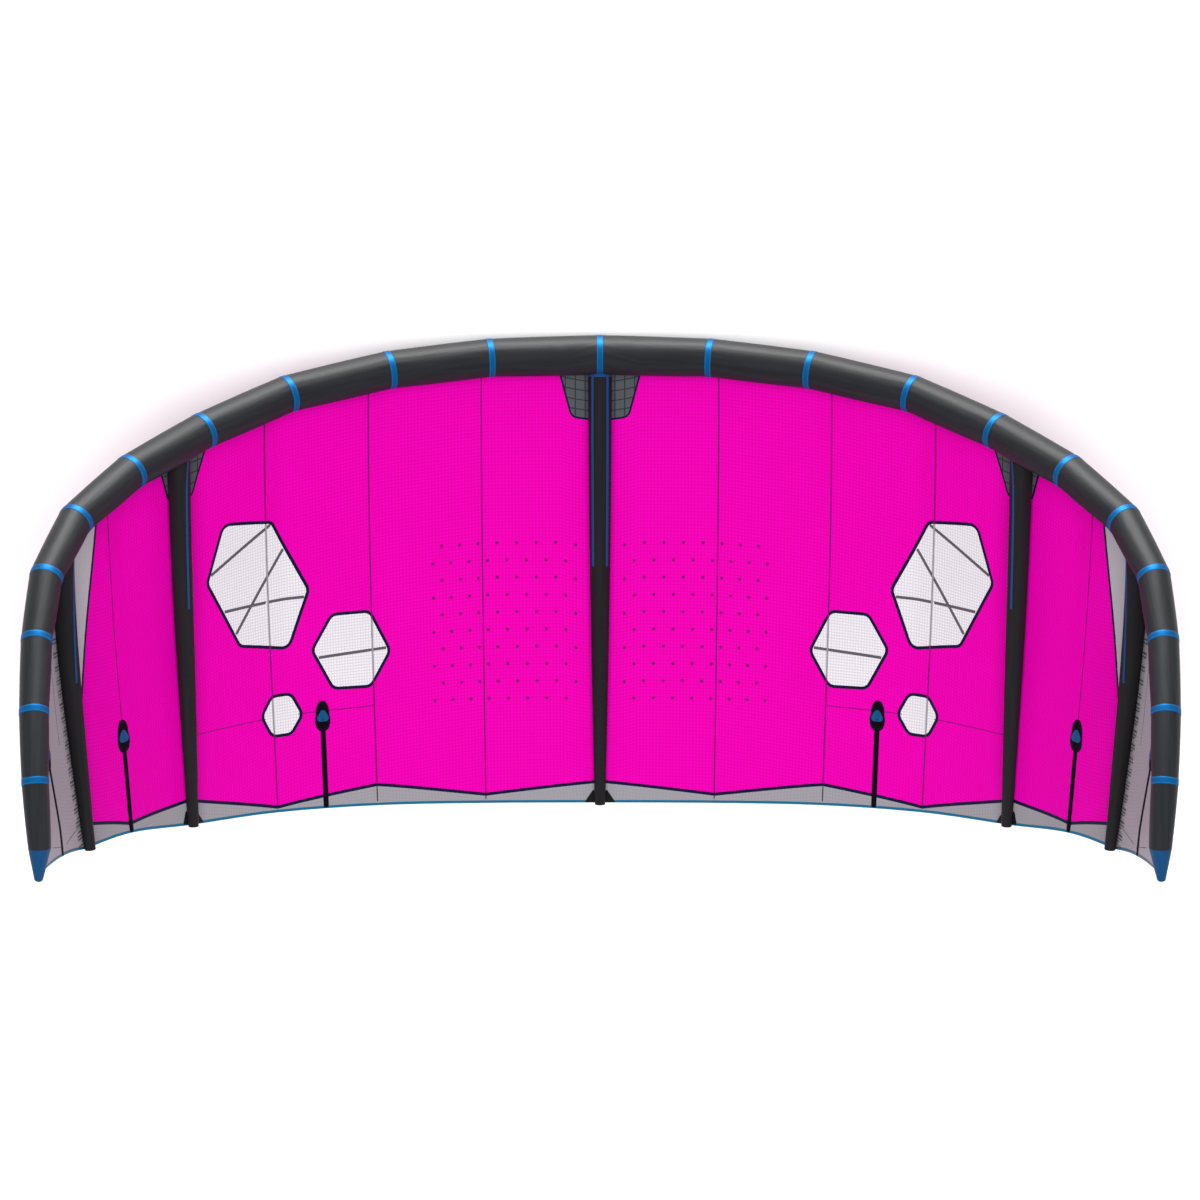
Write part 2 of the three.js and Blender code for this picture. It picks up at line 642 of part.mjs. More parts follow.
const kite = new THREE.Group();
function add(name, geometry, material) {
  const mesh = new THREE.Mesh(geometry, material);
  mesh.name = name;
  kite.add(mesh);
}

const SIDES = [{ name: 'left', sign: -1 }, { name: 'right', sign: 1 }];
const space = tubeSolid(BAND_STAND + GAP, -AXIS_HEIGHT, TIP_SEAT_END);

add('leading_edge', tubeSolid(0, TUBE_FLOOR, CAP_START), CHARCOAL);
add('seam_band_0_middle', bandSolid(0, 1), BLUE);
add('strut_middle', strutSolid(STRUTS[0], 1, space), BLACK);
add('trailing_edge_binding', bindingSolid(), TRIM_BLUE);
for (const { name: side, sign } of SIDES) {
  for (let band = 1; band <= LAST_BAND; band += 1) {
    add(`seam_band_${band}_${side}`, bandSolid(band, sign), BLUE);
  }
  add(`tip_cap_${side}`, capSolid(sign), CAP_BLUE);
  for (const strut of STRUTS.slice(1)) {
    add(`strut_${strut.name}_${side}`, strutSolid(strut, sign, space), BLACK);
  }
  for (let i = 0; i + 2 < TRAILING_EDGE.length; i += 1) {
    const [from, to] = [TRAILING_EDGE[i].place, TRAILING_EDGE[i + 1].place];
    add(`canopy_panel_${i + 1}_${side}`, panelSolid(from, to, sign), MAGENTA);
  }
  add(`canopy_panel_6_${side}`, lastMagentaSolid(sign), MAGENTA);
  add(`narrow_panel_${side}`, narrowPanelSolid(sign), GREY);
  add(`tip_panel_${side}`, tipPanelSolid(sign), GREY);
  add(`trailing_strip_${side}`, stripSolid(sign), GREY);
  for (const batten of [...BATTENS, TIP_BATTEN]) {
    const pointAt = batten === TIP_BATTEN ? tipPoint : canopyPoint;
    add(`batten_${batten.name}_${side}`, stickSolid(pointAt, batten, sign), BLACK);
    add(`batten_patch_${batten.name}_${side}`, patchSolid(pointAt, batten, sign), BLACK);
  }
}

export default kite;
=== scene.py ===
# %% [markdown]
# # An inflatable kite, pumped up and lying on its back
# A kite of this kind is a long bent air tube, five shorter tubes behind it and a thin cloth sewn
# over them all. The solids from the CAD step give its real size and place. Here each of them gets a
# finer skin: the tubes their puckers, the cloth its seams and its ripstop grid.

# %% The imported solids
import math

import bpy
import numpy as np
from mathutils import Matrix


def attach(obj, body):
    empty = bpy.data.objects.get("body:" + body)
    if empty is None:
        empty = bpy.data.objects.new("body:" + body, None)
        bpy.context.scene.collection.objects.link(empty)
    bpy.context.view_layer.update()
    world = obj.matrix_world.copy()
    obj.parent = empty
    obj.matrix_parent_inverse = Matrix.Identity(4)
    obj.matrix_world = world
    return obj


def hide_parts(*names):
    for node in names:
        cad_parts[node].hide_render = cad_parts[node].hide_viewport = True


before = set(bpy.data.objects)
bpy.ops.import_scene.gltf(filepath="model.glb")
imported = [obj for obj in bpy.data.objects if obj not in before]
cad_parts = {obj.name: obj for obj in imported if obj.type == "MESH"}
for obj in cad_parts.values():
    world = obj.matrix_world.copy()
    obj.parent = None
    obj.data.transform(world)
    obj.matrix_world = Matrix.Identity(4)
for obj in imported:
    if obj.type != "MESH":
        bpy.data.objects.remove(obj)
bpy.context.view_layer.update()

# %% [markdown]
# ## The camera
# The picture was taken from nearly straight above, a little in front of the leading edge. A long
# lens, 90 mm on a 36 mm sensor, keeps the two tips from spreading. The camera is tipped 9 degrees,
# and it stands where one pixel of the 1200 pixel picture covers 4.1 mm at the leading edge.

# %% The camera
CAMERA_TILT = math.radians(9)
camera_data = bpy.data.cameras.new("camera")
camera_data.lens = 90
camera_data.sensor_width = 36
camera_data.clip_end = 60
camera = bpy.data.objects.new("camera", camera_data)
camera.location = (0, 1.8373, 12.3747)
camera.rotation_euler = (-CAMERA_TILT, 0, 0)
bpy.context.scene.collection.objects.link(camera)
bpy.context.scene.camera = camera
print("camera height:", round(camera.location.z, 2), "m")

# %% [markdown]
# ## The sizes of the kite
# The same few named sizes as in the solids' source, in millimetres. One half of the kite is worked
# out from the middle of the leading edge: out along the span, aft towards the trailing edge, and
# rise from the floor. A place along the leading edge is counted in seam bands, such as 4.3, and a
# place along the cloth from front to back is a share of the chord.

# %% The sizes of the kite
AXIS_HEIGHT = 69.0
BOX_MIDDLE_AFT = 905.25

# band, out, aft, rise, across
LEADING_EDGE = np.array([
    (0, 0, 0, 0, 162),
    (1, 450, 9, 39, 156),
    (2, 856, 50, 144, 153),
    (3, 1248, 131, 328, 149),
    (4, 1558, 255, 572, 145),
    (5, 1801, 385, 848, 139),
    (6, 1971, 536, 1110, 131),
    (7, 2046, 717, 1341, 121),
    (8, 2055, 925, 1518, 113),
    (9, 2040, 1160, 1689, 106),
    (10, 2020, 1389, 1810, 96),
    (11, 2001, 1618, 1864, 82),
    (12, 2014, 1744, 1833, 31),
], float)
BANDS = 10
CAP_START, CAP_END = 11, 12
BAND_WIDTH = 26.0

# place, out, aft, rise, arch, strip
TRAILING_EDGE = np.array([
    (0, 0, 1887, -50, 26, 0.951),
    (1.06, 478, 1880, -4, 32, 0.981),
    (2.15, 920, 1858, 137, 34, 0.952),
    (3.18, 1311, 1839, 347, 28, 0.988),
    (4.3, 1635, 1821, 644, 13, 0.935),
    (5.23, 1814, 1786, 923, 15, 0.974),
    (6.3, 1962, 1789, 1179, 30, 0.92),
], float)
SEAMS = TRAILING_EDGE[:, 0]
ARCH_SKEW, BILLOW, TIP_ARCH, TIP_SCALLOP = 0.7, 10.0, 14.0, 0.011
INNER_STRUT, OUTER_STRUT, TIP_SEAT_END = 4.3, 6.3, 11.7
SEAT_ANGLE, TIP_SEAT_ANGLE = math.radians(78), math.radians(-40)
SEAT_STAND, CLOTH_FLOOR = 2.85, 0.9
# +X is the right tip, which is the picture's right.
SIDES = {"left": -1, "right": 1}
print("seams at", list(SEAMS))

# %% [markdown]
# ## The tube's axis
# The leading edge is sewn from straight lengths of cloth, and each joint is covered by a band. So
# the axis is straight from band to band, and the tube's section turns only at the bands. NumPy
# works all the places out at once, which is much quicker than a loop in Python.

# %% The tube's axis
AXIS_POINTS = LEADING_EDGE[:, 1:4]


def unit(v):
    return v / np.linalg.norm(v, axis=-1, keepdims=True)


def band_way(i):
    """The way along the tube at a band, half way between those of the lengths beside it."""
    if i == 0:
        return np.array([1.0, 0, 0])
    before = unit(AXIS_POINTS[i] - AXIS_POINTS[i - 1])
    return before if i == CAP_END else unit(before + unit(AXIS_POINTS[i + 1] - AXIS_POINTS[i]))


# Place, point, way along and radius at both edges of each band and at the two ends of the cap.
stations = [(0.0, AXIS_POINTS[0], band_way(0), LEADING_EDGE[0, 4] / 2)]
for i, row in enumerate(LEADING_EDGE):
    for edge in ([0] if i > BANDS else [1] if i == 0 else [-1, 1]):
        length = np.linalg.norm(AXIS_POINTS[i] - AXIS_POINTS[i + (edge or -1)])
        shift = edge * BAND_WIDTH / 2
        point = AXIS_POINTS[i] + band_way(i) * shift
        stations.append((i + shift / length, point, band_way(i), row[4] / 2))
STATION_PLACES = np.array([s[0] for s in stations])


def between_stations(places, column):
    values = np.array([s[column] for s in stations], float).reshape(len(stations), -1)
    parts = [np.interp(places, STATION_PLACES, values[:, k]) for k in range(values.shape[1])]
    return np.stack(parts, axis=-1)


def tube_at(places):
    """The axis, the way along it and the radius, at places counted in bands."""
    places = np.asarray(places, float)
    return (between_stations(places, 1), unit(between_stations(places, 2)),
            between_stations(places, 3))


tube_length = 2 * np.linalg.norm(np.diff(AXIS_POINTS, axis=0), axis=1).sum()
print("leading edge, mm along its axis:", round(tube_length))

# %% [markdown]
# ## The shape of the cloth
# The cloth starts on a line along the outer rear of the tube and ends at the trailing edge. Between
# them it arches a little out of the hollow side, since the wind, and here its own weight, fills it.
# A smooth curve through the rows of the table gives the trailing edge.

# %% The shape of the cloth
# The way from the tube to the line where the cloth is sewn on aims at a share of the chord.
SEAT_AIM, HALF_CLOTH = 0.4, 0.75


def both_wide(a, b):
    return np.broadcast_arrays(np.asarray(a, float), np.asarray(b, float))


def smooth_table(places, column):
    """A smooth curve through a column of the trailing edge's table."""
    x, y = SEAMS, TRAILING_EDGE[:, column]
    slope = np.empty(len(x))
    slope[1:-1] = (y[2:] - y[:-2]) / (x[2:] - x[:-2])
    slope[0] = (y[1] - y[0]) / (x[1] - x[0])
    slope[-1] = (y[-1] - y[-2]) / (x[-1] - x[-2])
    i = np.clip(np.searchsorted(x, places, side="right") - 1, 0, len(x) - 2)
    h = x[i + 1] - x[i]
    t = (places - x[i]) / h
    return ((2 * t**3 - 3 * t**2 + 1) * y[i] + (t**3 - 2 * t**2 + t) * h * slope[i]
            + (3 * t**2 - 2 * t**3) * y[i + 1] + (t**3 - t**2) * h * slope[i + 1])


def trailing_edge(places):
    return np.stack([smooth_table(places, k) for k in (1, 2, 3)], axis=-1)


def seat_way(places):
    """The way from the tube's axis to the line where the cloth is sewn on."""
    places = np.asarray(places, float)
    point, along, radius = tube_at(places)
    tip = np.clip((places - OUTER_STRUT) / (TIP_SEAT_END - OUTER_STRUT), 0, 1)[..., None]
    behind = np.minimum(places, OUTER_STRUT)
    share = SEAT_AIM + (1 - SEAT_AIM) * tip
    target = tube_at(behind)[0] * (1 - share) + trailing_edge(behind) * share
    aft = target - point
    aft = unit(aft - along * (aft * along).sum(-1, keepdims=True))
    outward = unit(np.cross(aft, along))
    room = (AXIS_HEIGHT + point[..., 2:] - HALF_CLOTH) / (radius + SEAT_STAND)
    angle = np.minimum(SEAT_ANGLE + (TIP_SEAT_ANGLE - SEAT_ANGLE) * tip,
                       np.arcsin(np.clip(room, 0, 1)))
    return aft * np.cos(angle) + outward * np.sin(angle)


def seat_point(places):
    point, along, radius = tube_at(places)
    return point + seat_way(places) * (radius + SEAT_STAND)


def middle_of_chord(places):
    side = np.where(places < 0, -1.0, 1.0)[..., None] * [1, 0, 0] + [0, 1, 1]
    places = np.abs(places)
    return (seat_point(places) + trailing_edge(places)) / 2 * side


def outward_way(places, reach=0.4):
    """The way out of the hollow, square to the chord and to the span on both sides of it."""
    places = np.asarray(places, float)
    chord = unit(trailing_edge(places) - seat_point(places))
    ahead = middle_of_chord(np.minimum(places + reach, OUTER_STRUT))
    return unit(np.cross(chord, unit(ahead - middle_of_chord(places - reach))))


def above_floor(points):
    points[..., 2] = np.maximum(points[..., 2], CLOTH_FLOOR - AXIS_HEIGHT)
    return points


def canopy(places, chords):
    """Points in the middle of the cloth, for places and chords that broadcast together."""
    places, chords = both_wide(places, chords)
    chord = chords[..., None]
    arch = smooth_table(places, 4)[..., None] * np.sin(np.pi * np.maximum(chord, 0) ** ARCH_SKEW)
    struts = np.array([0, INNER_STRUT, OUTER_STRUT])
    bay = np.clip(np.searchsorted(struts, places, side="right") - 1, 0, 1)
    share = (places - struts[bay]) / (struts[bay + 1] - struts[bay])
    billow = BILLOW * np.sin(np.pi * share)[..., None] * chord
    line = seat_point(places) * (1 - chord) + trailing_edge(places) * chord
    return above_floor(line + outward_way(places) * (arch + billow))


def tip_cloth(across, down):
    """Points outboard of the outer strut: across from it to the tube, and down to the rear."""
    across, down = both_wide(across, down)
    middle = np.sin(np.pi * across)
    row = down * (1 - TIP_SCALLOP * middle)
    strut = canopy(OUTER_STRUT, row)
    tube = seat_point(OUTER_STRUT + (TIP_SEAT_END - OUTER_STRUT) * row)
    arch = (TIP_ARCH * middle * down)[..., None]
    return strut + (tube - strut) * across[..., None] + outward_way(OUTER_STRUT) * arch


def surface_at(cloth, a, b):
    """A place on the cloth and the way out of its hollow side, square to it."""
    step = 0.004
    down, across = cloth(a, b + step) - cloth(a, b - step), cloth(a + step, b) - cloth(a - step, b)
    return cloth(a, b), unit(np.cross(down, across))


middle_chord = float(np.linalg.norm(canopy(0, 1) - canopy(0, 0)))
print("chord at the middle, mm:", round(middle_chord))

# %% [markdown]
# ## From points to meshes
# Every skin here is a grid of points that a function gave. Two of them a hair apart, closed round
# the rim, make a real sheet with a front and a back. The UV map holds
# millimetres divided by a thousand, so that a weave in a material has its real size wherever the
# cloth goes.

# %% From points to meshes
SHARP = math.radians(40)


def to_frame(points, side, floor=0.3):
    """Out, aft and rise in millimetres as metres in the frame, none of them below a floor."""
    out = np.array(points, float)
    z = np.maximum(AXIS_HEIGHT + out[..., 2], floor)
    return np.stack([side * out[..., 0], BOX_MIDDLE_AFT - out[..., 1], z], axis=-1) / 1000


def both_halves(half, floor):
    """Rings for one half of the kite, mirrored and joined at the middle."""
    return np.concatenate([to_frame(half[:0:-1], -1, floor), to_frame(half, 1, floor)])


def grid_faces(rows, columns, start=0, wrap=False):
    i, j = np.meshgrid(np.arange(rows - 1), np.arange(columns if wrap else columns - 1),
                       indexing="ij")
    near, far = i * columns, (i + 1) * columns
    k = (j + 1) % columns
    return np.stack([near + j, near + k, far + k, far + j], -1).reshape(-1, 4) + start


def enclosed(points, faces):
    a, b, c, d = (points[faces[:, k]] for k in range(4))
    return ((a * np.cross(b, c)).sum(-1) + (a * np.cross(c, d)).sum(-1)).sum() / 6


def make_piece(name, parts, material, nodes=()):
    """One object from parts of (points, quads, uv), each of them closed and turned to face out."""
    points, faces, uvs, start = [], [], [], 0
    for p, f, uv in parts:
        p = p.reshape(-1, 3)
        points.append(p)
        faces.append((f[:, ::-1] if enclosed(p, f) < 0 else f) + start)
        uvs.append(uv.reshape(-1, 2))
        start += len(p)
    points, faces, uvs = np.concatenate(points), np.concatenate(faces), np.concatenate(uvs)
    mesh = bpy.data.meshes.new(name)
    mesh.from_pydata(points.tolist(), [], faces.tolist())
    layer = mesh.uv_layers.new(name="UVMap")
    layer.data.foreach_set("uv", uvs[faces.ravel()].ravel().astype(np.float32))
    mesh.materials.append(material)
    mesh.shade_smooth()
    mesh.set_sharp_from_angle(angle=SHARP)
    piece = bpy.data.objects.new(name, mesh)
    bpy.context.scene.collection.objects.link(piece)
    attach(piece, "root")
    if nodes:
        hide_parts(*nodes)
    return piece


def run_along(points, axis=0):
    """Distances along a row of points, from 0 at its start."""
    steps = np.linalg.norm(np.diff(points, axis=axis), axis=-1)
    return np.cumsum(np.insert(steps, 0, 0, axis=axis), axis=axis)


def uv_map(across, along):
    return np.stack(np.broadcast_arrays(across, along), axis=-1)


def slab(grid, out, half, side):
    """A closed thin sheet: half a thickness to each side of a grid, with a rim round it."""
    rows, columns = grid.shape[:2]
    top, low = to_frame(grid + out * half, side), to_frame(grid - out * half, side, 0.1)
    count = rows * columns
    rim = np.concatenate([
        np.arange(columns), np.arange(2, rows + 1) * columns - 1,
        count - 2 - np.arange(columns - 1), np.arange(rows - 2, 0, -1) * columns,
    ])
    ring = np.stack([rim, np.roll(rim, -1), np.roll(rim, -1) + count, rim + count], -1)
    faces = np.concatenate([grid_faces(rows, columns),
                            grid_faces(rows, columns, count)[:, ::-1], ring[:, ::-1]])
    across = run_along(grid, 1)
    middle = across[:, columns // 2:columns // 2 + 1]
    uv = uv_map(across - middle, run_along(grid)) / 1000
    points = np.concatenate([top.reshape(-1, 3), low.reshape(-1, 3)])
    return points, faces, np.concatenate([uv, uv])


def flat_area(grid):
    a, b = grid[1:, 1:] - grid[:-1, :-1], grid[1:, :-1] - grid[:-1, 1:]
    return float(np.linalg.norm(np.cross(a, b), axis=-1).sum() / 2 / 1e6)


def flat_size(grid):
    across = np.linalg.norm(np.diff(grid, axis=1), axis=-1).sum(axis=1).max()
    down = np.linalg.norm(np.diff(grid, axis=0), axis=-1).sum(axis=0).max()
    return float(across / 1000), float(down / 1000)


print("mesh helpers ready")

# %% [markdown]
# ## Colours and shader nodes
# Colours are written as the hex codes that a picture shows, which are sRGB, and one function turns
# them into the linear values that Blender's shaders work in. One more small function adds a shader
# node, sets it up and links its inputs, so each material below reads from top to bottom.

# %% Colours and shader nodes
def linear(code, share=1.0):
    """An sRGB hex code as linear values, darkened to a share of them."""
    values = [int(code[k:k + 2], 16) / 255 for k in (1, 3, 5)]
    values = [v / 12.92 if v <= 0.04045 else ((v + 0.055) / 1.055) ** 2.4 for v in values]
    return tuple(v * share for v in values) + (1.0,)


def node(tree, kind, inputs=None, **settings):
    made = tree.nodes.new("ShaderNode" + kind)
    for key, value in settings.items():
        setattr(made, key, value)
    for key, value in (inputs or {}).items():
        if isinstance(value, bpy.types.NodeSocket):
            tree.links.new(value, made.inputs[key])
        else:
            made.inputs[key].default_value = value
    return made


def maths(tree, operation, *values):
    return node(tree, "Math", dict(enumerate(values)), operation=operation).outputs[0]


def scaled(tree, place, scale):
    return node(tree, "VectorMath", {0: place, 1: scale}, operation="MULTIPLY").outputs[0]


def noise(tree, place, scale, detail=2.0):
    return node(tree, "TexNoise", {"Vector": place, "Scale": scale, "Detail": detail}).outputs[0]


def remap(tree, value, low, high, to_low, to_high):
    limits = {0: value, 1: low, 2: high, 3: to_low, 4: to_high}
    return node(tree, "MapRange", limits).outputs[0]


def blend(tree, share, first, second):
    colours = {"Factor": share, 6: first, 7: second}
    return node(tree, "Mix", colours, data_type="RGBA").outputs[2]


def new_material(name):
    material = bpy.data.materials.new(name)
    material.use_nodes = True
    material.node_tree.nodes.clear()
    return material, material.node_tree


def uv_of(tree):
    return node(tree, "UVMap", uv_map="UVMap").outputs[0]


def finish_material(tree, colour, bump, distance, strength, **shader):
    normal = node(tree, "Bump", {"Height": bump, "Distance": distance, "Strength": strength})
    keys = {key.replace("_", " "): value for key, value in shader.items()}
    surface = node(tree, "BsdfPrincipled",
                   {"Base Color": colour, "Normal": normal.outputs[0], **keys})
    node(tree, "OutputMaterial", {"Surface": surface.outputs[0]})


# The plain sRGB curve keeps a strong magenta strong. The default one pales it.
bpy.context.scene.view_settings.view_transform = "Standard"
print("magenta in linear values:", [round(v, 3) for v in linear("#F500B8")])

# %% [markdown]
# ## Ripstop cloth
# The canopy is ripstop: thin polyester, coated, with a thicker thread every few millimetres both
# ways that stops a tear. The eye sees a fine grid, a little darker than the cloth between it, and
# hardly any gloss, since the weave scatters what the coating mirrors. The real grid is about 5 mm,
# too fine to show on a kite four metres wide, so it is left to the bump, and the grid drawn in
# colour is 14 mm, as wide as it shows.

# %% Ripstop cloth
FINE_GRID, FINE_THREAD = 0.005, 0.0009


def threads(tree, uv, pitch, width):
    """1 on the lines of a square grid and 0 between them, from a UV map in metres."""
    cell = scaled(tree, uv, (1 / pitch,) * 3)
    away = node(tree, "VectorMath", {0: cell, 1: (1.0,) * 3, 2: (0.0,) * 3}, operation="WRAP")
    parts = node(tree, "SeparateXYZ", {0: away.outputs[0]})
    lines = []
    for axis in (0, 1):
        off = maths(tree, "SUBTRACT", parts.outputs[axis], 0.5)
        off = maths(tree, "ABSOLUTE", off)
        lines.append(remap(tree, off, width / pitch / 2, width / pitch, 1.0, 0.0))
    return maths(tree, "MAXIMUM", *lines)


def ripstop(name, cloth, grid, pitch=0.014, line=0.003, gloss=0.06):
    material, tree = new_material(name)
    uv = uv_of(tree)
    lines = threads(tree, uv, pitch, line)
    fine = threads(tree, uv, FINE_GRID, FINE_THREAD)
    cloud = remap(tree, noise(tree, uv, 2.2, 3.0), 0.35, 0.65, 0.0, 0.5)
    body = blend(tree, cloud, linear(cloth), linear(cloth, 0.9))
    colour = blend(tree, lines, body, linear(grid))
    height = maths(tree, "MULTIPLY_ADD", fine, 0.25, noise(tree, uv, 26.0, 4.0))
    finish_material(tree, colour, height, 0.002, 0.25, Roughness=0.55, IOR=1.48,
                    Specular_IOR_Level=gloss)
    return material


canopy_cloth = ripstop("ripstop_polyester_magenta", "#C80298", "#B80286", gloss=0.02)
# The tips and the narrow panels are the same grey ripstop as the strip. This copy is painted lighter:
# the light that falls on the tips is painted into its colour.
tip_cloth_grey_painted_lighter = ripstop("ripstop_polyester_grey_painted_lighter", "#98939A", "#908B92")
strip_cloth = ripstop("ripstop_polyester_grey", "#848187", "#7D7A80")
window_cloth = ripstop("ripstop_polyester_white", "#CBC8CC", "#B2AFB5", pitch=0.012)
print("ripstop cloths: 4")

# %% [markdown]
# ## Reinforcement cloth
# Where the struts meet the tube, the load goes into stiff slate-grey patches. Their cloth has heavy
# dark threads laid in a wide square grid, about 40 mm apart, which show from across a beach.

# %% Reinforcement cloth
patch_cloth = ripstop("laid_thread_cloth_slate", "#43464A", "#25272A", pitch=0.040)
print(patch_cloth.name)

# %% [markdown]
# ## Woven tube cloth
# The tubes are woven polyester, heavy and heat-set, with a resin finish. It is matt next to the
# canopy, with a broad soft highlight along the tube and a square weave that only shows close by.

# %% Woven tube cloth
WEAVE_PITCH = 0.004


def woven(name, colour, light, roughness, gloss):
    material, tree = new_material(name)
    uv = uv_of(tree)
    weave = threads(tree, uv, WEAVE_PITCH, WEAVE_PITCH / 5)
    # Noise stretched 20 times along the tube: the faint lengthwise creases of rolled-up cloth. It
    # raises them in the bump, and it also paints them in the lighter second colour, a painted
    # highlight where light catches each crease.
    streak = noise(tree, scaled(tree, uv, (60.0, 3.0, 1.0)), 1.0, 3.0)
    mixed = blend(tree, remap(tree, streak, 0.3, 0.7, 0.0, 1.0), linear(colour), linear(light))
    height = maths(tree, "MULTIPLY_ADD", weave, 0.3, streak)
    finish_material(tree, mixed, height, 0.003, 0.3, Roughness=roughness, IOR=1.5,
                    Specular_IOR_Level=gloss)
    return material


# The second colour of each cloth is its painted highlight along the creases.
tube_cloth = woven("woven_polyester_charcoal", "#16181B", "#1E2024", 0.48, 0.2)
strut_cloth = woven("woven_polyester_black", "#171618", "#1B1A1C", 0.55, 0.12)
cap_cloth = woven("woven_polyester_deep_blue", "#09355B", "#0C3D64", 0.5, 0.12)
pocket_cloth = woven("woven_polyester_pocket_black", "#07030B", "#0B0610", 0.7, 0.06)
print("woven cloths: 4")

# %% [markdown]
# ## Tapes and stitches
# Seams are covered with folded tape, sewn down with a row of stitches near each edge. A stitch is a
# short raised dash, drawn in the material from the UV map: across the tape says how near its edge
# is, and along it says where one stitch ends. Real stitches are about 3 mm long.

# %% Tapes and stitches
STITCH, STITCH_THREAD, STITCH_SHARE = 0.0035, 0.0007, 0.7


def tape(name, colour, thread, width, roughness=0.55, gloss=0.16, tint="#FFFFFF", metal=0.0):
    """Tape with a row of stitches near each edge. Its UV map runs across it in u."""
    material, tree = new_material(name)
    uv = uv_of(tree)
    parts = node(tree, "SeparateXYZ", {0: uv})
    row = maths(tree, "SUBTRACT", maths(tree, "ABSOLUTE", parts.outputs[0]), width * 0.36)
    on_row = maths(tree, "LESS_THAN", maths(tree, "ABSOLUTE", row), STITCH_THREAD)
    turn = maths(tree, "FRACT", maths(tree, "MULTIPLY", parts.outputs[1], 1 / STITCH))
    dash = maths(tree, "MULTIPLY", on_row, maths(tree, "LESS_THAN", turn, STITCH_SHARE))
    weave = noise(tree, uv, 400.0)
    shade = remap(tree, weave, 0.0, 1.0, 0.0, 0.25)
    body = blend(tree, shade, linear(colour), linear(colour, 0.6))
    height = maths(tree, "MULTIPLY_ADD", dash, 2.0, weave)
    finish_material(tree, blend(tree, dash, body, linear(thread)), height, 0.0006, 0.5,
                    Roughness=roughness, IOR=1.5, Specular_IOR_Level=gloss,
                    Specular_Tint=linear(tint), Metallic=metal)
    return material


# The bands shine in their own colour, as satin tape does. A part-metal surface does the same.
band_tape = tape("polyester_tape_blue", "#0B5184", "#2679B6", 0.026, 0.5, 1.0, "#1096F0", 0.4)
seam_tape = tape("polyester_tape_plum", "#6C005A", "#830E6D", 0.006)
navy_tape = tape("polyester_tape_navy", "#08062A", "#141238", 0.013)
grey_tape = tape("polyester_tape_grey", "#4C484D", "#5A565C", 0.012)
window_seam_tape = tape("polyester_tape_pale_grey", "#7C7980", "#8A878E", 0.005)
stitched_edge = tape("polyester_thread_slate", "#10161F", "#1C2734", 0.003)
edge_tape = tape("polyester_tape_teal", "#055979", "#1D6E8E", 0.018, 0.5)
piping_cord = tape("polyester_piping_blue", "#143666", "#204474", 0.012)
tongue_tape = tape("polyester_webbing_blue", "#0A3F69", "#1F5C8A", 0.040)
gusset_cloth = tape("polyester_tape_black", "#100F12", "#29282C", 0.060)
print("tapes: 10")

# %% [markdown]
# ## The leading edge
# A pumped tube is smooth between its bands. At a band the cloth on the inner side of the bend has
# nowhere to go, so it puckers: short waves that die out a hand's width from the band. The rings of
# the mesh are close together there and wide apart elsewhere, and each point moves out or in along
# its own radius.

# %% The leading edge
RING = 72
# The rings beside a band, as shares of the way to the next one.
CLOSE_RINGS = np.array([0.02, 0.045, 0.075, 0.11, 0.15, 0.2, 0.27, 0.35, 0.43])
RING_SHARES = np.concatenate([CLOSE_RINGS, [0.5], 1 - CLOSE_RINGS[::-1], [1.0]])
PUCKERS, PUCKER_DEPTH, PUCKER_REACH, SWELL = 17, 9, 42, 1.2


def circle(count):
    return np.arange(count) * 2 * np.pi / count


def round_ways(up, beside, turn):
    """Ways out from each point of an axis, one for each turn round it."""
    return up[:, None] * np.cos(turn)[:, None] + beside[:, None] * np.sin(turn)[:, None]


def bend_at(i):
    """The way in which the tube bends at a band, longer for a sharper bend."""
    mirrored = AXIS_POINTS[1] * [-1, 1, 1]
    before = unit(AXIS_POINTS[i] - AXIS_POINTS[i - 1]) if i else -unit(mirrored)
    return unit(AXIS_POINTS[i + 1] - AXIS_POINTS[i]) - before


def tube_places():
    edges = STATION_PLACES[(STATION_PLACES > 0) & (STATION_PLACES <= CAP_START)]
    places = [0.0, 0.01, edges[0]]
    for a, b in zip(edges[:-1], edges[1:]):
        under_band = b - a < 0.2
        places += [(a + b) / 2, b] if under_band else list(a + (b - a) * RING_SHARES)
    return np.array(places)


def tube_points(places):
    """Rings round the tube, from the line where the cloth is sewn on."""
    point, along, radius = tube_at(places)
    seat, turn = seat_way(places), circle(RING)
    way = round_ways(seat, np.cross(along, seat), turn)
    swell = np.zeros((len(places), RING))
    for i in range(CAP_START):
        bend = bend_at(i)
        inner = np.clip((way * unit(bend)).sum(-1), 0, 1) ** 0.7
        length = np.linalg.norm(AXIS_POINTS[i + 1] - AXIS_POINTS[i])
        away = np.maximum(np.abs(places - i) * length - BAND_WIDTH / 2, 0)
        fade = (np.exp(-away / PUCKER_REACH) * (away > 0))[:, None]
        waves = 0.5 + 0.5 * np.cos(PUCKERS * turn + 1.3 * i)
        swell -= PUCKER_DEPTH * np.linalg.norm(bend) * inner * fade * waves
        here = (places >= i) & (places < i + 1)
        swell += (SWELL * np.sin(np.pi * np.clip(places - i, 0, 1)) * here)[:, None]
    return point[:, None] + way * (radius[:, None] + swell[..., None])


def ring_uv(rings):
    """Round the tube in u and along it in v, from rings in the frame."""
    centre = rings.mean(axis=1)
    radius = np.linalg.norm(rings - centre[:, None], axis=-1).mean()
    return uv_map(radius * circle(rings.shape[1]), run_along(centre)[:, None])


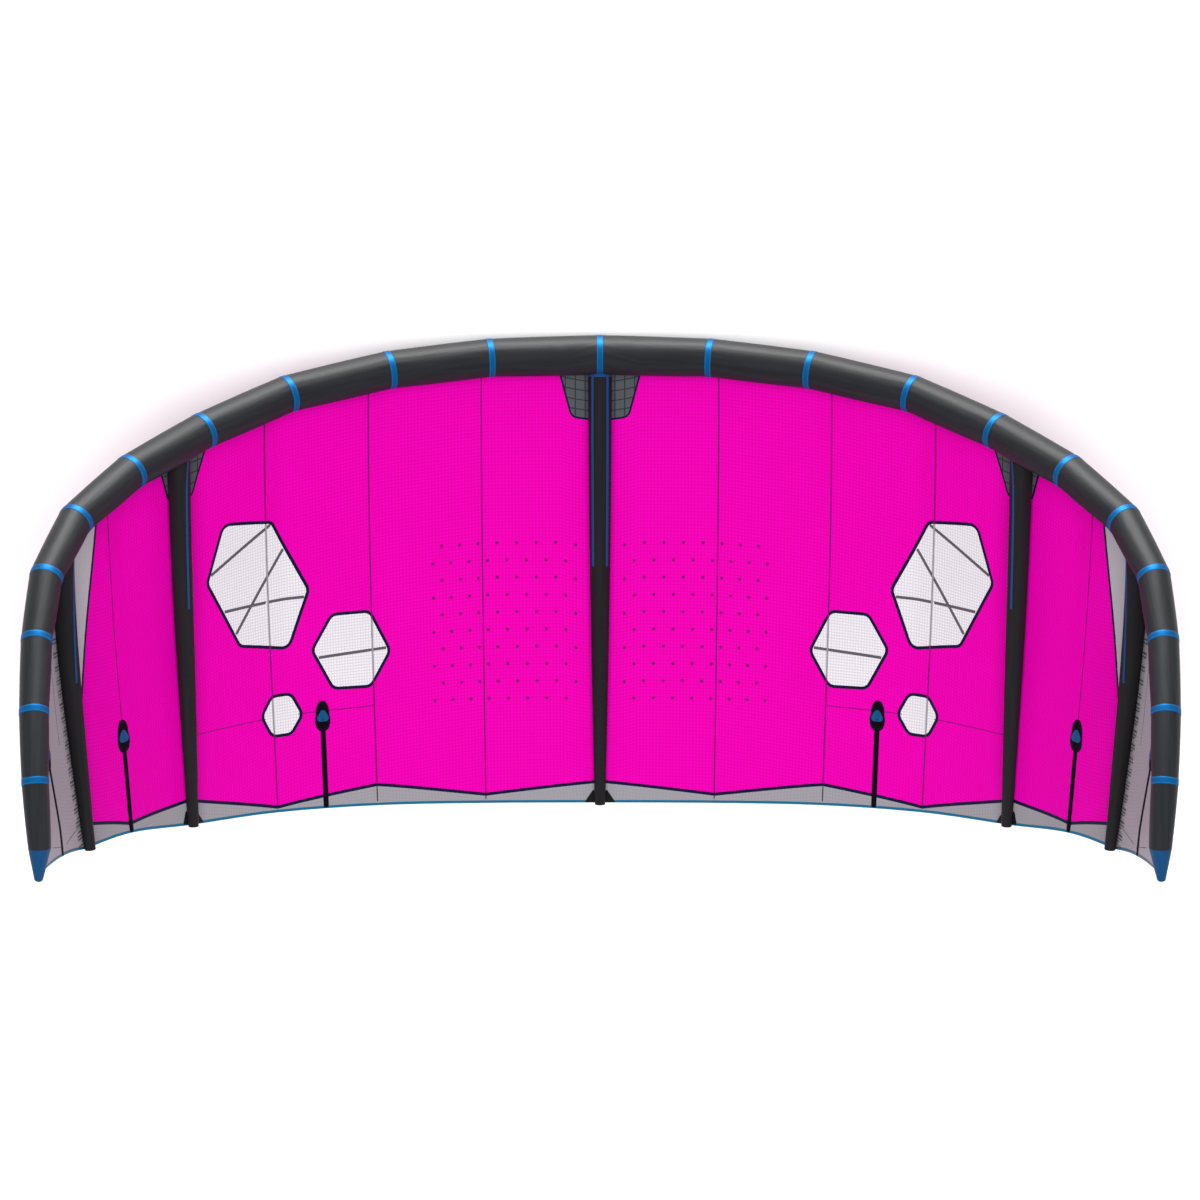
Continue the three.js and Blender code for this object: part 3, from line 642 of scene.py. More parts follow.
def closed_rings(rings, uv):
    """Quads over a row of rings, with the two ends closed to a point in their middles."""
    rows, columns = rings.shape[:2]
    ends = [np.broadcast_to(rings[k].mean(axis=0), rings[:1].shape) for k in (0, -1)]
    points = np.concatenate([ends[0], rings, ends[1]])
    uv = np.concatenate([uv[:1], uv, uv[-1:]])
    return points, grid_faces(rows + 2, columns, wrap=True), uv


rings = both_halves(tube_points(tube_places()), 1.0)
make_piece("leading_edge_tube", [closed_rings(rings, ring_uv(rings))],
           tube_cloth, ["leading_edge"])
print("tube rings:", len(rings), "puckered at", CAP_START, "bands a side")

# %% [markdown]
# ## The seam bands
# Each joint is covered by a blue band. It lies tight on the tube, a millimetre proud, and its edges
# are rounded by the stitches that pull them down. All the bands are one object here, since they are
# one material and none of them moves.

# %% The seam bands
# Millimetres along the tube and up from its skin, round the band's section.
BAND_SECTION = np.array([(-13, -0.8), (-13, 0.5), (-12, 1.2), (-9, 1.5), (9, 1.5), (12, 1.2),
                         (13, 0.5), (13, -0.8), (-13, -0.8)], float)
BAND_RING = 96


def band_part(i, side):
    along, radius = tube_at(float(i))[1:]
    seat, turn = seat_way(float(i)), circle(BAND_RING)
    way = round_ways(seat[None], np.cross(along, seat)[None], turn)[0]
    loops = [to_frame(AXIS_POINTS[i] + along * s + way * (radius + h), side,
                      1.0 if h < 0 else 0.05) for s, h in BAND_SECTION]
    uv = uv_map(BAND_SECTION[:, :1], turn * radius) / 1000
    return np.stack(loops), grid_faces(len(loops), BAND_RING, wrap=True), uv


band_nodes, band_parts = ["seam_band_0_middle"], [band_part(0, 1)]
for name, side in SIDES.items():
    for i in range(1, BANDS + 1):
        band_nodes.append(f"seam_band_{i}_{name}")
        band_parts.append(band_part(i, side))
make_piece("seam_bands", band_parts, band_tape, band_nodes)
print("bands:", len(band_parts))

# %% [markdown]
# ## The tip caps
# The last length of the tube tapers and is blue. It ends in a small flat disc, with the cloth drawn
# in towards it, so the profile rounds over at the end.

# %% The tip caps
CAP_GAP = 0.003
CAP_SHARES = np.concatenate([np.linspace(0, 0.94, 16), [0.965, 0.985, 1.0, 1.0, 1.0]])
CAP_SHRINK = np.concatenate([np.ones(16), [0.99, 0.97, 0.92, 0.6, 0.25]])


def cap_part(side):
    places = CAP_START + CAP_GAP + (1 - CAP_GAP) * CAP_SHARES
    centre, along, radius = tube_at(places)
    seat, turn = seat_way(places), circle(RING)
    way = round_ways(seat, np.cross(along, seat), turn)
    pucker = 1 - 0.03 * (CAP_SHARES**3)[:, None] * (0.5 + 0.5 * np.cos(12 * turn))
    reach = radius * CAP_SHRINK[:, None] * pucker
    rings = to_frame(centre[:, None] + way * reach[..., None], side)
    return closed_rings(rings, ring_uv(rings))


for name, side in SIDES.items():
    cap = make_piece(f"tip_cap_skin_{name}", [cap_part(side)], cap_cloth,
                     [f"tip_cap_{name}"])
    print(cap.name, "points:", len(cap.data.vertices))

# %% [markdown]
# ## The struts
# Each strut is a tapering tube, sewn to the cloth along one line and blown up with it, so it is
# round and only a little bent. It comes out from under the leading edge and ends in a rounded nose
# just past the trailing edge.

# %% The struts
# Place, and the diameters of the front and the rear end.
STRUTS = {"middle": (0.0, 97, 44), "inner": (INNER_STRUT, 88, 42), "outer": (OUTER_STRUT, 86, 42)}
STRUT_STAND, STRUT_TAPER, STRUT_RING, NOSE_LENGTH = 1.2, 1.8, 56, 6
STRUT_CHORDS = np.concatenate([[-0.02, 0.0], np.linspace(0.01, 1.0, 58)])
NOSE_LEAN = np.radians([15, 32, 50, 68, 82])[:, None, None]


def strut_out(place, chords):
    """The way from a strut out of the hollow, half way between the two cloths that meet there."""
    outward = outward_way(place)
    if place < OUTER_STRUT:
        return np.broadcast_to(outward, (len(chords), 3))
    down = np.maximum(chords, 0.1)
    seat = tip_cloth(0.0, down)
    back = unit(seat - tip_cloth(0.0, 0.0))
    tip_out = unit(np.cross(back, unit(tip_cloth(0.1, down) - seat)))
    return unit(outward + tip_out)


def strut_axis(strut, chords):
    place, front, rear = STRUTS[strut]
    out = strut_out(place, chords)
    radius = (front + (rear - front) * np.clip(chords, 0, 1) ** STRUT_TAPER) / 2
    # The rear end stands a little higher, to clear the binding.
    lift = STRUT_STAND + 2.4 * np.clip((chords - 0.93) / 0.06, 0, 1)
    back = unit(trailing_edge(place) - seat_point(place))
    beside = unit(np.cross(back, out))
    return canopy(place, chords) - out * (radius + lift)[:, None], out, beside, radius, back


def strut_part(strut, side):
    centre, out, beside, radius, back = strut_axis(strut, STRUT_CHORDS)
    turn = circle(STRUT_RING)
    way = round_ways(out, beside, turn)
    wave = 0.35 * np.sin(STRUT_CHORDS * 61)[:, None] * np.cos(3 * turn)
    rings = centre[:, None] + way * (radius[:, None] + wave)[..., None]
    reach = centre[-1] + back * NOSE_LENGTH * np.sin(NOSE_LEAN)
    nose = reach + way[-1] * radius[-1] * np.cos(NOSE_LEAN) ** 0.2
    rings = to_frame(np.concatenate([rings, nose]), side, 0.6)
    return closed_rings(rings, ring_uv(rings))


strut_list = [("middle", "strut_middle", 1)]
strut_list += [(s, f"strut_{s}_{name}", SIDES[name]) for name in SIDES for s in ("inner", "outer")]
for strut, cad_name, side in strut_list:
    piece = make_piece(f"{cad_name}_tube", [strut_part(strut, side)], strut_cloth,
                       [cad_name])
    print(piece.name, "diameters:", STRUTS[strut][1:])

# %% [markdown]
# ## The canopy panels
# The cloth is cut in panels, sewn edge to edge. Sewing draws the cloth up a little, so tiny puckers
# stand along each seam and die out a few centimetres from it, and behind the leading edge the cloth
# falls in soft folds below each band. These forms are only a millimetre or two high, but the light
# finds them. Each panel's flat size and area are worked out, but not kept.

# %% The canopy panels
# The narrow panel's seam: its place at the tube, the chord at which it meets the strut, its bend.
NARROW_FRONT, NARROW_MEETS, NARROW_BEND = 5.37, 0.86, 1.18
PANEL_WIDTH = np.linalg.norm(np.diff(TRAILING_EDGE[:, 1:4], axis=0), axis=1) / np.diff(SEAMS)
FRONT, SHEET_HALF = -0.0012, 0.3


def narrow_seam(chords):
    share = np.clip(chords / NARROW_MEETS, 0, 1) ** NARROW_BEND
    return NARROW_FRONT + (OUTER_STRUT - NARROW_FRONT) * share


def strip_start(places):
    return np.interp(places, SEAMS, TRAILING_EDGE[:, 5])


def seam_distance(places, chords):
    """Millimetres to the nearest seam between two panels."""
    per_place = np.interp(places, (SEAMS[1:] + SEAMS[:-1]) / 2, PANEL_WIDTH)
    away = [np.abs(places - seam) for seam in SEAMS[:-1]] + [np.abs(places - narrow_seam(chords))]
    return np.min(away, axis=0) * per_place


def near_seam(distance):
    """How much of its height a pucker has: none on the seam itself and little far from it."""
    return np.exp(-distance / 30) * (1 - np.exp(-distance / 6))


def wrinkles(places, chords):
    """Puckers along the seams and soft folds behind the bands, in mm out of the hollow side."""
    along = np.maximum(chords, 0) * 1750
    near = near_seam(seam_distance(places, chords))
    pucker = 1.3 * near * (np.sin(along / 10.3) + 0.5 * np.sin(along / 15.1 + 1))
    band = np.exp(-((places - np.round(places)) * 420 / 26) ** 2)
    fold = -3.0 * band * np.exp(-along / 110) * (1 - np.exp(-along / 14))
    drift = 2.0 * np.sin(places * 2.3 + 1) * np.sin(along / 210 + places * 3.1)
    return pucker + fold + drift * np.sin(np.pi * np.clip(chords, 0, 1))


def cloth(places, chords):
    """The canopy with its puckers and folds."""
    places, chords = both_wide(places, chords)
    height = wrinkles(places, chords)[..., None]
    return above_floor(canopy(places, chords) + outward_way(places) * height)


def at(limit, where):
    """A panel's limit, which is one number or a function of where on the cloth it is."""
    return limit(where) if callable(limit) else limit + 0 * where


def panel_grid(start, end, front, rear, rows, columns):
    """A grid on the cloth from one seam to the next, and from one chord to another."""
    v = np.linspace(0, 1, rows)[:, None]
    u = np.linspace(0, 1, columns)[None, :]
    places = at(start, v) + (at(end, v) - at(start, v)) * u
    chords = at(front, places) + (at(rear, places) - at(front, places)) * v
    return surface_at(cloth, places, chords)


sheets = []


def add_sheet(kind, name, grids, material, cad_kind):
    """One panel of a side, as a piece that stands for the side's solid."""
    grid, out = grids
    piece = make_piece(f"{kind}_{name}", [slab(grid, out, SHEET_HALF, SIDES[name])], material,
                       [f"{cad_kind}_{name}"])
    flat_size(grid)
    flat_area(grid)
    sheets.append(piece)


for name in SIDES:
    for k in range(5):
        columns = int((SEAMS[k + 1] - SEAMS[k]) * 26) + 4
        grids = panel_grid(SEAMS[k], SEAMS[k + 1], FRONT, strip_start, 160, columns)
        add_sheet(f"canopy_cloth_{k + 1}", name, grids, canopy_cloth, f"canopy_panel_{k + 1}")
print("full panels:", len(sheets))

# %% [markdown]
# ## The narrow grey panels and the tips
# Inboard of each outer strut a slim grey panel runs to a point, and the last magenta panel is cut
# to meet it. Outboard of the strut the whole tip is grey.

# %% The narrow grey panels and the tips
def tip(across, down):
    """The tip's cloth with its puckers and one long soft crease."""
    across, down = both_wide(across, down)
    near = near_seam(np.minimum(across, 1 - across) * 250)
    pucker = 1.0 * near * np.sin(down * 150)
    crease = 2.0 * np.sin(np.pi * np.clip(across, 0, 1)) * np.sin(down * 9 + 4 * across)
    return tip_cloth(across, down) + outward_way(OUTER_STRUT) * (pucker + crease)[..., None]


def tip_grid(rows, columns):
    down, across = np.meshgrid(np.linspace(0.012, 1, rows), np.linspace(0, 1, columns),
                               indexing="ij")
    out = surface_at(tip, across, np.clip(down, 0.016, 0.995))[1]
    return tip(across, down), out


last_chord = float(strip_start(OUTER_STRUT))
narrow_end = NARROW_MEETS * 0.985
for name in SIDES:
    grids = panel_grid(SEAMS[5], lambda v: narrow_seam(v * last_chord), FRONT, strip_start, 100, 22)
    add_sheet("canopy_cloth_6", name, grids, canopy_cloth, "canopy_panel_6")
    grids = panel_grid(lambda v: narrow_seam(v * narrow_end), OUTER_STRUT, FRONT, narrow_end, 70, 14)
    add_sheet("narrow_cloth", name, grids, tip_cloth_grey_painted_lighter, "narrow_panel")
    add_sheet("tip_cloth", name, tip_grid(90, 44), tip_cloth_grey_painted_lighter, "tip_panel")
    grids = panel_grid(0, OUTER_STRUT, strip_start, 1, 8, 190)
    add_sheet("trailing_cloth", name, grids, strip_cloth, "trailing_strip")
print("sheets of cloth:", len(sheets))

# %% [markdown]
# ## Tapes on the cloth
# A tape, a batten's pocket and a seam are all one narrow section, carried along a line on the
# cloth. The section is given as millimetres beside the line and up into the hollow. A flat one goes
# through the cloth and shows on both of its faces, as a felled seam does. The material reads u
# across it and v along it.

# %% Tapes on the cloth
def flat_section(width, half, shift=0.0):
    edge = width / 2
    return [(shift - edge, -half), (shift + edge, -half), (shift + edge, half), (shift - edge, half)]


def laid_on(surface, line, section, side):
    """A closed section swept along a line of (a, b) pairs on a surface."""
    points, out = surface_at(surface, line[:, 0], line[:, 1])
    along = unit(np.gradient(points, axis=0))
    beside = unit(np.cross(out, along))
    width, height = np.array(section, float).T[..., None]
    rings = points[:, None] + beside[:, None] * width - out[:, None] * height
    uv = uv_map(width[:, 0] - (width.max() + width.min()) / 2, run_along(points)[:, None]) / 1000
    return closed_rings(to_frame(rings, side, 0.1), uv)


def straight(a, b, steps):
    return np.linspace(np.array(a, float), np.array(b, float), steps)


SEAM_WIDTH, SEAM_HALF = 6, 1.7
CROSS_SEAM_WIDTH, CROSS_SEAM_HALF = 3.5, 1.1
seam_parts = []
for side in SIDES.values():
    for place in SEAMS[[1, 2, 3, 5]]:
        line = straight((place, 0.003), (place, strip_start(place) - 0.004), 120)
        width = SEAM_WIDTH * (0.5 if place == SEAMS[5] else 1.0)
        seam_parts.append(laid_on(cloth, line, flat_section(width, SEAM_HALF), side))
    # A thin seam crosses the outer panels at three quarters of the chord. It stops at the window.
    for line in (straight((INNER_STRUT, 0.769), (3.27, 0.768), 60),
                 straight((2.91, 0.768), (2.15, 0.767), 50)):
        section = flat_section(CROSS_SEAM_WIDTH, CROSS_SEAM_HALF)
        seam_parts.append(laid_on(cloth, line, section, side))
make_piece("seam_tapes", seam_parts, seam_tape)
print("seams taped:", len(seam_parts))

# %% [markdown]
# ## The dark zigzag
# The grey strip along the rear is sewn on with a broad navy tape that goes up and down from seam to
# seam. The same tape, a little narrower, closes the slanting seam of the narrow grey panel, and
# thin lines of it carry the canopy's seams on across the strip.

# %% The dark zigzag
NAVY_WIDTH, NAVY_HALF = 13, 1.5
corners = TRAILING_EDGE[:, [0, 5]]
navy_parts = []
for side in SIDES.values():
    rows = np.linspace(0.003, NARROW_MEETS * 0.99, 70)
    line = np.stack([narrow_seam(rows), rows], -1)
    navy_parts.append(laid_on(cloth, line, flat_section(9, NAVY_HALF), side))
    for k in range(6):
        line = straight(corners[k], corners[k + 1], 40)
        navy_parts.append(laid_on(cloth, line, flat_section(NAVY_WIDTH, NAVY_HALF), side))
        if k in (1, 2, 3, 5):
            line = straight(corners[k] + [0, 0.002], (SEAMS[k], 0.992), 8)
            navy_parts.append(laid_on(cloth, line, flat_section(4, 1.1), side))
make_piece("zigzag_tapes", navy_parts, navy_tape)
print("zigzag tapes:", len(navy_parts))

# %% [markdown]
# ## Seams under the tubes
# A strut is sewn to the cloth along a tape that only shows from outside, and the cloth itself meets
# the leading edge under another. Both have two rows of stitches. On the tip's side, the outer
# strut's tape is wide, and its stitches cross it like the teeth of a comb.

# %% Seams under the tubes
# One tooth every 13 mm: the real stitch of 4 mm would not show from where the kite fits the picture.
TOOTH_PITCH = 0.013
STRUT_TAPE, COMB_TAPE = flat_section(20, 1.2), flat_section(66, 0.9, 37)


def comb(name, colour, tooth):
    material, tree = new_material(name)
    run = node(tree, "SeparateXYZ", {0: uv_of(tree)}).outputs[1]
    turn = maths(tree, "FRACT", maths(tree, "MULTIPLY", run, 1 / TOOTH_PITCH))
    mark = remap(tree, turn, 0.45, 0.55, 0.0, 1.0)
    mixed = blend(tree, mark, linear(colour), linear(tooth))
    finish_material(tree, mixed, mark, 0.0006, 0.5, Roughness=0.6, IOR=1.5,
                    Specular_IOR_Level=0.08)
    return material


comb_tape = comb("polyester_tape_comb_stitched", "#8E8A8F", "#484549")
strut_tape_parts, comb_parts = [], []
for side in SIDES.values():
    for place in (INNER_STRUT, OUTER_STRUT):
        line = straight((place, 0.004), (place, 0.985), 100)
        strut_tape_parts.append(laid_on(cloth, line, STRUT_TAPE, side))
    line = straight((0.002, 0.2), (0.002, 0.985), 74)
    comb_parts.append(laid_on(tip, line, COMB_TAPE, side))
line = straight((0.0001, 0.004), (0.0001, 0.985), 100)
strut_tape_parts.append(laid_on(cloth, line, STRUT_TAPE, 1))
make_piece("strut_seam_tapes", strut_tape_parts, seam_tape)
make_piece("comb_stitched_tapes", comb_parts, comb_tape)


def edge_seam_loops():
    """Loops of a tape from the tube's skin to the cloth, along the line where they are sewn."""
    places = np.linspace(0.0, TIP_SEAT_END, 240)
    point, along, radius = tube_at(places)
    seat = seat_way(places)
    behind = cloth(np.minimum(places, OUTER_STRUT), 0.012)
    down = np.clip((places - OUTER_STRUT) / (TIP_SEAT_END - OUTER_STRUT), 0.02, 1)
    behind = np.where((places > OUTER_STRUT)[:, None], tip(0.955, down), behind)
    aft = behind - seat_point(places)
    aft = unit(aft - along * (aft * along).sum(-1, keepdims=True))
    seam = point + seat * radius
    fore = unit(seam - aft * 16 - point)
    return np.stack([
        point + fore * (radius + 0.4), seam + seat * 3.9, seam + seat * 3.6 + aft * 14,
        seam + seat * 2.2 + aft * 14, seam + seat * 1.6, point + fore * (radius - 1.0)], axis=1)


edge_seam_tape = tape("polyester_tape_charcoal", "#191A1D", "#303236", 0.030)
rings = both_halves(edge_seam_loops(), 0.1)
across = np.array([-15, 0, 13, 13, 0, -15]) / 1000
run = run_along(rings[:, 1])
make_piece("leading_edge_seam_tape", [closed_rings(rings, uv_map(across, run[:, None]))],
           edge_seam_tape)
print("leading edge seam, m:", round(float(run[-1]), 2))

# %% [markdown]
# ## The trailing edge binding
# A soft tape is folded over the raw edge of the cloth and sewn through. Its section is a flat U,
# drawn once and carried along the edge from cap to cap.

# %% The trailing edge binding
# Millimetres to the rear of the cloth's edge and out of the cloth, and the same laid flat for the UV.
BINDING_SECTION = np.array([(-9, 1.5), (-8, 1.9), (0.8, 1.8), (1.9, 1.0), (2.0, 0), (1.9, -1.0),
                            (0.8, -1.8), (-8, -1.9), (-9, -1.5), (-9, 0)], float)
BINDING_FLAT = np.array([-4.5, -3.5, 5.3, 6.4, 7.5, 6.4, 5.3, -3.5, -4.5, -5])


def edge_points(chord):
    """Points at a chord, from the middle of the kite to the end of the tip."""
    places = np.linspace(0.0, OUTER_STRUT, 170)
    shares = np.linspace(0, 0.985, 40)[1:]
    return np.concatenate([cloth(places, chord), tip(shares, chord)])


def binding_loops():
    edge, ahead = edge_points(1.0), edge_points(0.96)
    before = np.concatenate([edge[1:2] * [-1, 1, 1], edge[:-1]])
    after = np.concatenate([edge[1:], edge[-1:]])
    span = unit(after - before)
    up = unit(np.cross(span, unit(edge - ahead)))
    rear = unit(np.cross(up, span))
    back, high = BINDING_SECTION[:, :1], BINDING_SECTION[:, 1:]
    return edge[:, None] + rear[:, None] * back + up[:, None] * high


rings = both_halves(binding_loops(), 0.1)
run = run_along(rings[:, 4])
uv = uv_map(BINDING_FLAT / 1000, run[:, None])
make_piece("trailing_binding_tape", [closed_rings(rings, uv)], edge_tape,
           ["trailing_edge_binding"])
print("binding, m:", round(float(run[-1]), 2))

# %% [markdown]
# ## Piping on the struts
# Thin blue piping runs back from the front of each strut, two lines on the middle one and one on
# each of the others, on its inner side. A crossing tape joins the two at the leading edge. The
# angle is counted round the strut from the line that looks straight into the hollow, positive
# outwards.

# %% Piping on the struts
# strut, angle at the front, angle at the end, end chord, reach of the curl at the front, size
PIPING = [
    ("middle", 40, 43, 0.45, 0.0, 1.0),
    ("inner", 0, 8, 0.425, 0.05, 0.75),
    ("outer", -18, 29, 0.46, 0.03, 0.7),
]
CORD_SECTION = np.array([(-6.2, -0.8), (-6.2, 0.5), (-3.5, 1.4), (0, 1.8), (3.5, 1.4), (6.2, 0.5),
                         (6.2, -0.8)], float)


def piping_part(strut, front, rear, end, reach, size, side):
    chords = np.linspace(0.004, end, 70)
    centre, out, beside, radius, back = strut_axis(strut, chords)
    # At the very front the piping curves inwards, under the leading edge.
    curl = 40 * np.exp(-chords / reach) if reach else 0.0
    turn = np.pi + np.radians(front + (rear - front) * chords / end - curl)[:, None]
    way = out * np.cos(turn) + beside * np.sin(turn)
    round_way = beside * np.cos(turn) - out * np.sin(turn)
    width, height = CORD_SECTION[:, :1] * size, CORD_SECTION[:, 1:]
    rings = (centre[:, None] + way[:, None] * (radius[:, None, None] + height)
             + round_way[:, None] * width)
    uv = uv_map(width[:, 0], chords[:, None] * 1800) / 1000
    return closed_rings(to_frame(rings, side, 0.5), uv)


def crossing_part():
    centre, out, beside, radius, back = strut_axis("middle", np.array([0.019, 0.02]))
    turn = np.pi + np.radians(np.linspace(-76, 76, 24))[:, None]
    way = out[:1] * np.cos(turn) + beside[:1] * np.sin(turn)
    width, height = CORD_SECTION[:, :1], CORD_SECTION[:, 1:]
    rings = centre[:1] + way[:, None] * (radius[0] + height) + back * width
    uv = uv_map(width[:, 0], turn * radius[0]) / 1000
    return closed_rings(to_frame(rings, 1, 0.5), uv)


piping_parts = [crossing_part()]
piping_parts += [piping_part(*sizes, side) for sizes in PIPING for side in SIDES.values()]
make_piece("strut_piping", piping_parts, piping_cord)
print("lines of piping:", len(piping_parts) - 1)

# %% [markdown]
# ## Patches on the cloth
# Windows, reinforcements and batten patches are flat shapes with rounded corners. Each starts as a
# small polygon in millimetres beside and behind a place on the cloth. It is filled with rings that
# shrink to its middle, so the patch follows the cloth's curve, and a border follows its outline.

# %% Patches on the cloth
def rounded(corners, radius, arc=7):
    """Points round a convex polygon of corner centres, a radius away from it."""
    corners = np.array(corners, float)
    after = np.roll(corners, -1, axis=0)
    if (corners[:, 0] * after[:, 1] - corners[:, 1] * after[:, 0]).sum() < 0:
        corners = corners[::-1]
    edges = unit(np.roll(corners, -1, axis=0) - corners)
    angles = np.arctan2(-edges[:, 0], edges[:, 1])
    points = []
    for k, corner in enumerate(corners):
        turn = (angles[k] - angles[k - 1]) % (2 * np.pi)
        sweep = angles[k - 1] + turn * np.linspace(0, 1, arc)
        points.append(corner + radius * np.stack([np.cos(sweep), np.sin(sweep)], -1))
    return np.concatenate(points)


def spread(outline, guide, spacing):
    """More points along an outline, as many on each edge as a guide outline needs."""
    lengths = np.linalg.norm(np.roll(guide, -1, axis=0) - guide, axis=1)
    steps = np.maximum(1, np.round(lengths / spacing))
    after = np.roll(outline, -1, axis=0)
    return np.concatenate([a + (b - a) * np.linspace(0, 1, int(n), endpoint=False)[:, None]
                           for a, b, n in zip(outline, after, steps)])


def edged(corners, radius, border, spacing):
    """The outlines of a patch and of the border round it, with as many points each."""
    guide = rounded(corners, radius)
    wide = rounded(corners, radius + border)
    return spread(guide, guide, spacing), spread(wide, guide, spacing)


def scale_at(surface, origin):
    """Millimetres for each whole share of a surface, beside and behind a place on it."""
    a, b = origin
    base = surface(a, b)
    return (np.linalg.norm(surface(a + 0.03, b) - base) / 0.03,
            np.linalg.norm(surface(a, b + 0.01) - base) / 0.01)


def place_on(surface, origin, points):
    """Millimetres beside and behind an origin on a surface, as the surface's own two shares."""
    per_a, per_b = scale_at(surface, origin)
    return origin[0] + points[..., 0] / per_a, origin[1] + points[..., 1] / per_b


def patch_part(surface, origin, outline, side, low, high, rings=16):
    """A filled shape, from low to high millimetres up into the hollow."""
    middle = outline.mean(axis=0)
    flat = middle + (outline - middle) * np.linspace(1, 0, rings + 1)[:, None, None]
    points, out = surface_at(surface, *place_on(surface, origin, flat))
    top, bottom = to_frame(points - out * high, side), to_frame(points - out * low, side, 0.1)
    grid = np.concatenate([top[::-1], bottom])
    uv = np.concatenate([flat[::-1], flat]) / 1000
    return grid, grid_faces(len(grid), len(outline), wrap=True), uv


def border_part(surface, origin, inner, outer, side, low, high):
    """A flat ring between two outlines that have as many points each."""
    flat = np.stack([inner, outer, outer, inner, inner])
    points, out = surface_at(surface, *place_on(surface, origin, flat))
    heights = np.array([high, high, low, low, high])[:, None, None]
    grid = to_frame(points - out * heights, side, 0.1)
    across = np.array([-1, 1, 1, -1, -1]) * np.linalg.norm(outer[0] - inner[0]) / 2000
    uv = uv_map(across[:, None], run_along(outer) / 1000)
    return grid, grid_faces(5, len(outer), wrap=True), uv


def outline_area(outline):
    after = np.roll(outline, -1, axis=0)
    return float(abs((outline[:, 0] * after[:, 1] - outline[:, 1] * after[:, 0]).sum()) / 2e6)


print("corners of a test square:", len(rounded([(0, 0), (1, 0), (1, 1), (0, 1)], 0.1)))

# %% [markdown]
# ## The white windows
# Each side of the canopy has white ripstop windows with a navy border, and thin grey tapes cross
# them. They are set into the cloth and show on both of its faces. Here they are six-sided and lean
# outwards.

# %% The white windows
# name, place, chord, half length, half width
WINDOWS = [
    ("large", 3.322, 0.434, 310, 176),
    ("middle", 2.36, 0.631, 172, 138),
    ("small", 3.09, 0.765, 88, 74),
]
LEAN, CORNER, BORDER, WINDOW_STEP = math.radians(27), 34.0, 13.0, 14
WINDOW_SHARES = [(1, 0), (0.55, 1), (-0.55, 1), (-1, 0), (-0.55, -1), (0.55, -1)]
# The ends of each cross tape, as shares of the half length and the half width.
CROSS_TAPES = {
    "large": [((-0.62, -0.98), (0.02, 0.98)), ((0.12, -0.98), (-0.36, 0.98)),
              ((0.52, -0.98), (0.60, 0.98))],
    "middle": [((-0.44, -0.98), (0.30, 0.98))],
    "small": [],
}
CROSS_TAPE, WINDOW_SEAM = flat_section(12, 1.2), flat_section(7, 2.0)


def window_spot(half_length, half_width, along, across):
    """Millimetres beside and behind the window's middle, for shares along and across it."""
    s, t = along * half_length, across * half_width
    return (s * math.sin(LEAN) + t * math.cos(LEAN), -s * math.cos(LEAN) + t * math.sin(LEAN))


def inside(spots, outline):
    """Which spots lie inside an outline that runs anticlockwise and has no hollow."""
    edges = np.roll(outline, -1, axis=0) - outline
    toward = spots[:, None] - outline
    return (edges[:, 0] * toward[..., 1] - edges[:, 1] * toward[..., 0] > -1e-6).all(axis=1)


def tape_inside(origin, outline, spots, section, side):
    """A tape along a row of spots, cut off where it leaves the outline."""
    spots = spots[inside(spots, outline)]
    places = place_on(cloth, origin, straight(spots[0], spots[-1], 30))
    return laid_on(cloth, np.stack(places, -1), section, side)


border_parts, cross_parts, crossing_seams = [], [], []
for side_name, side in SIDES.items():
    for name, place, chord, half_length, half_width in WINDOWS:
        origin = (place, chord)
        corners = [window_spot(half_length - CORNER * 1.2, half_width - CORNER, *share)
                   for share in WINDOW_SHARES]
        inner, outer = edged(corners, CORNER, BORDER, WINDOW_STEP)
        pane = make_piece(f"window_{name}_{side_name}",
                          [patch_part(cloth, origin, inner, side, -0.9, 0.9)],
                          window_cloth)
        border_parts.append(border_part(cloth, origin, inner, outer, side, -1.3, 1.3))
        for seam in SEAMS[1:4]:
            beside = (seam - place) * scale_at(cloth, origin)[0]
            spots = straight((beside, -half_length), (beside, half_length), 200)
            if inside(spots, inner).sum() > 2:
                crossing_seams.append(tape_inside(origin, inner, spots, WINDOW_SEAM, side))
        for ends in CROSS_TAPES[name]:
            spots = straight(*(window_spot(half_length, half_width, *end) for end in ends), 200)
            cross_parts.append(tape_inside(origin, inner, spots, CROSS_TAPE, side))
make_piece("window_borders", border_parts, navy_tape)
make_piece("window_tapes", cross_parts, grey_tape)
make_piece("window_seams", crossing_seams, window_seam_tape)
print("windows:", 2 * len(WINDOWS), "tapes across them:", len(cross_parts))

# %% [markdown]
# ## Printed dots
# Between the windows and the middle strut the canopy is printed with a field of small dark marks.
# Here they are plain dots in staggered rows, 82 mm apart.

# %% Printed dots
DOT, DOT_PITCH, DOT_ROW, DOT_START = 6.5, 82.0, 73.0, 95
DOT_ROWS, DOT_COLUMNS, DOT_PLACE, DOT_CHORD = 10, 8, 0.6, 0.41
dot_ink = tape("screen_print_plum", "#70005C", "#70005C", 0.030, 0.5)
dot_outline = rounded([(-1, 0), (1, 0), (0, 1)], DOT, 4)
dot_parts = []
for side in SIDES.values():
    for row in range(DOT_ROWS):
        for column in range(DOT_COLUMNS):
            beside = DOT_START + column * DOT_PITCH + (row % 2) * DOT_PITCH / 2
            spot = np.array([beside - DOT_PLACE * PANEL_WIDTH[0], row * DOT_ROW])
            a, b = place_on(cloth, (DOT_PLACE, DOT_CHORD), spot)
            dot_parts.append(patch_part(cloth, (a, b), dot_outline, side, -0.7, 0.8, 1))
make_piece("printed_dots", dot_parts, dot_ink)
print("dots:", len(dot_parts))

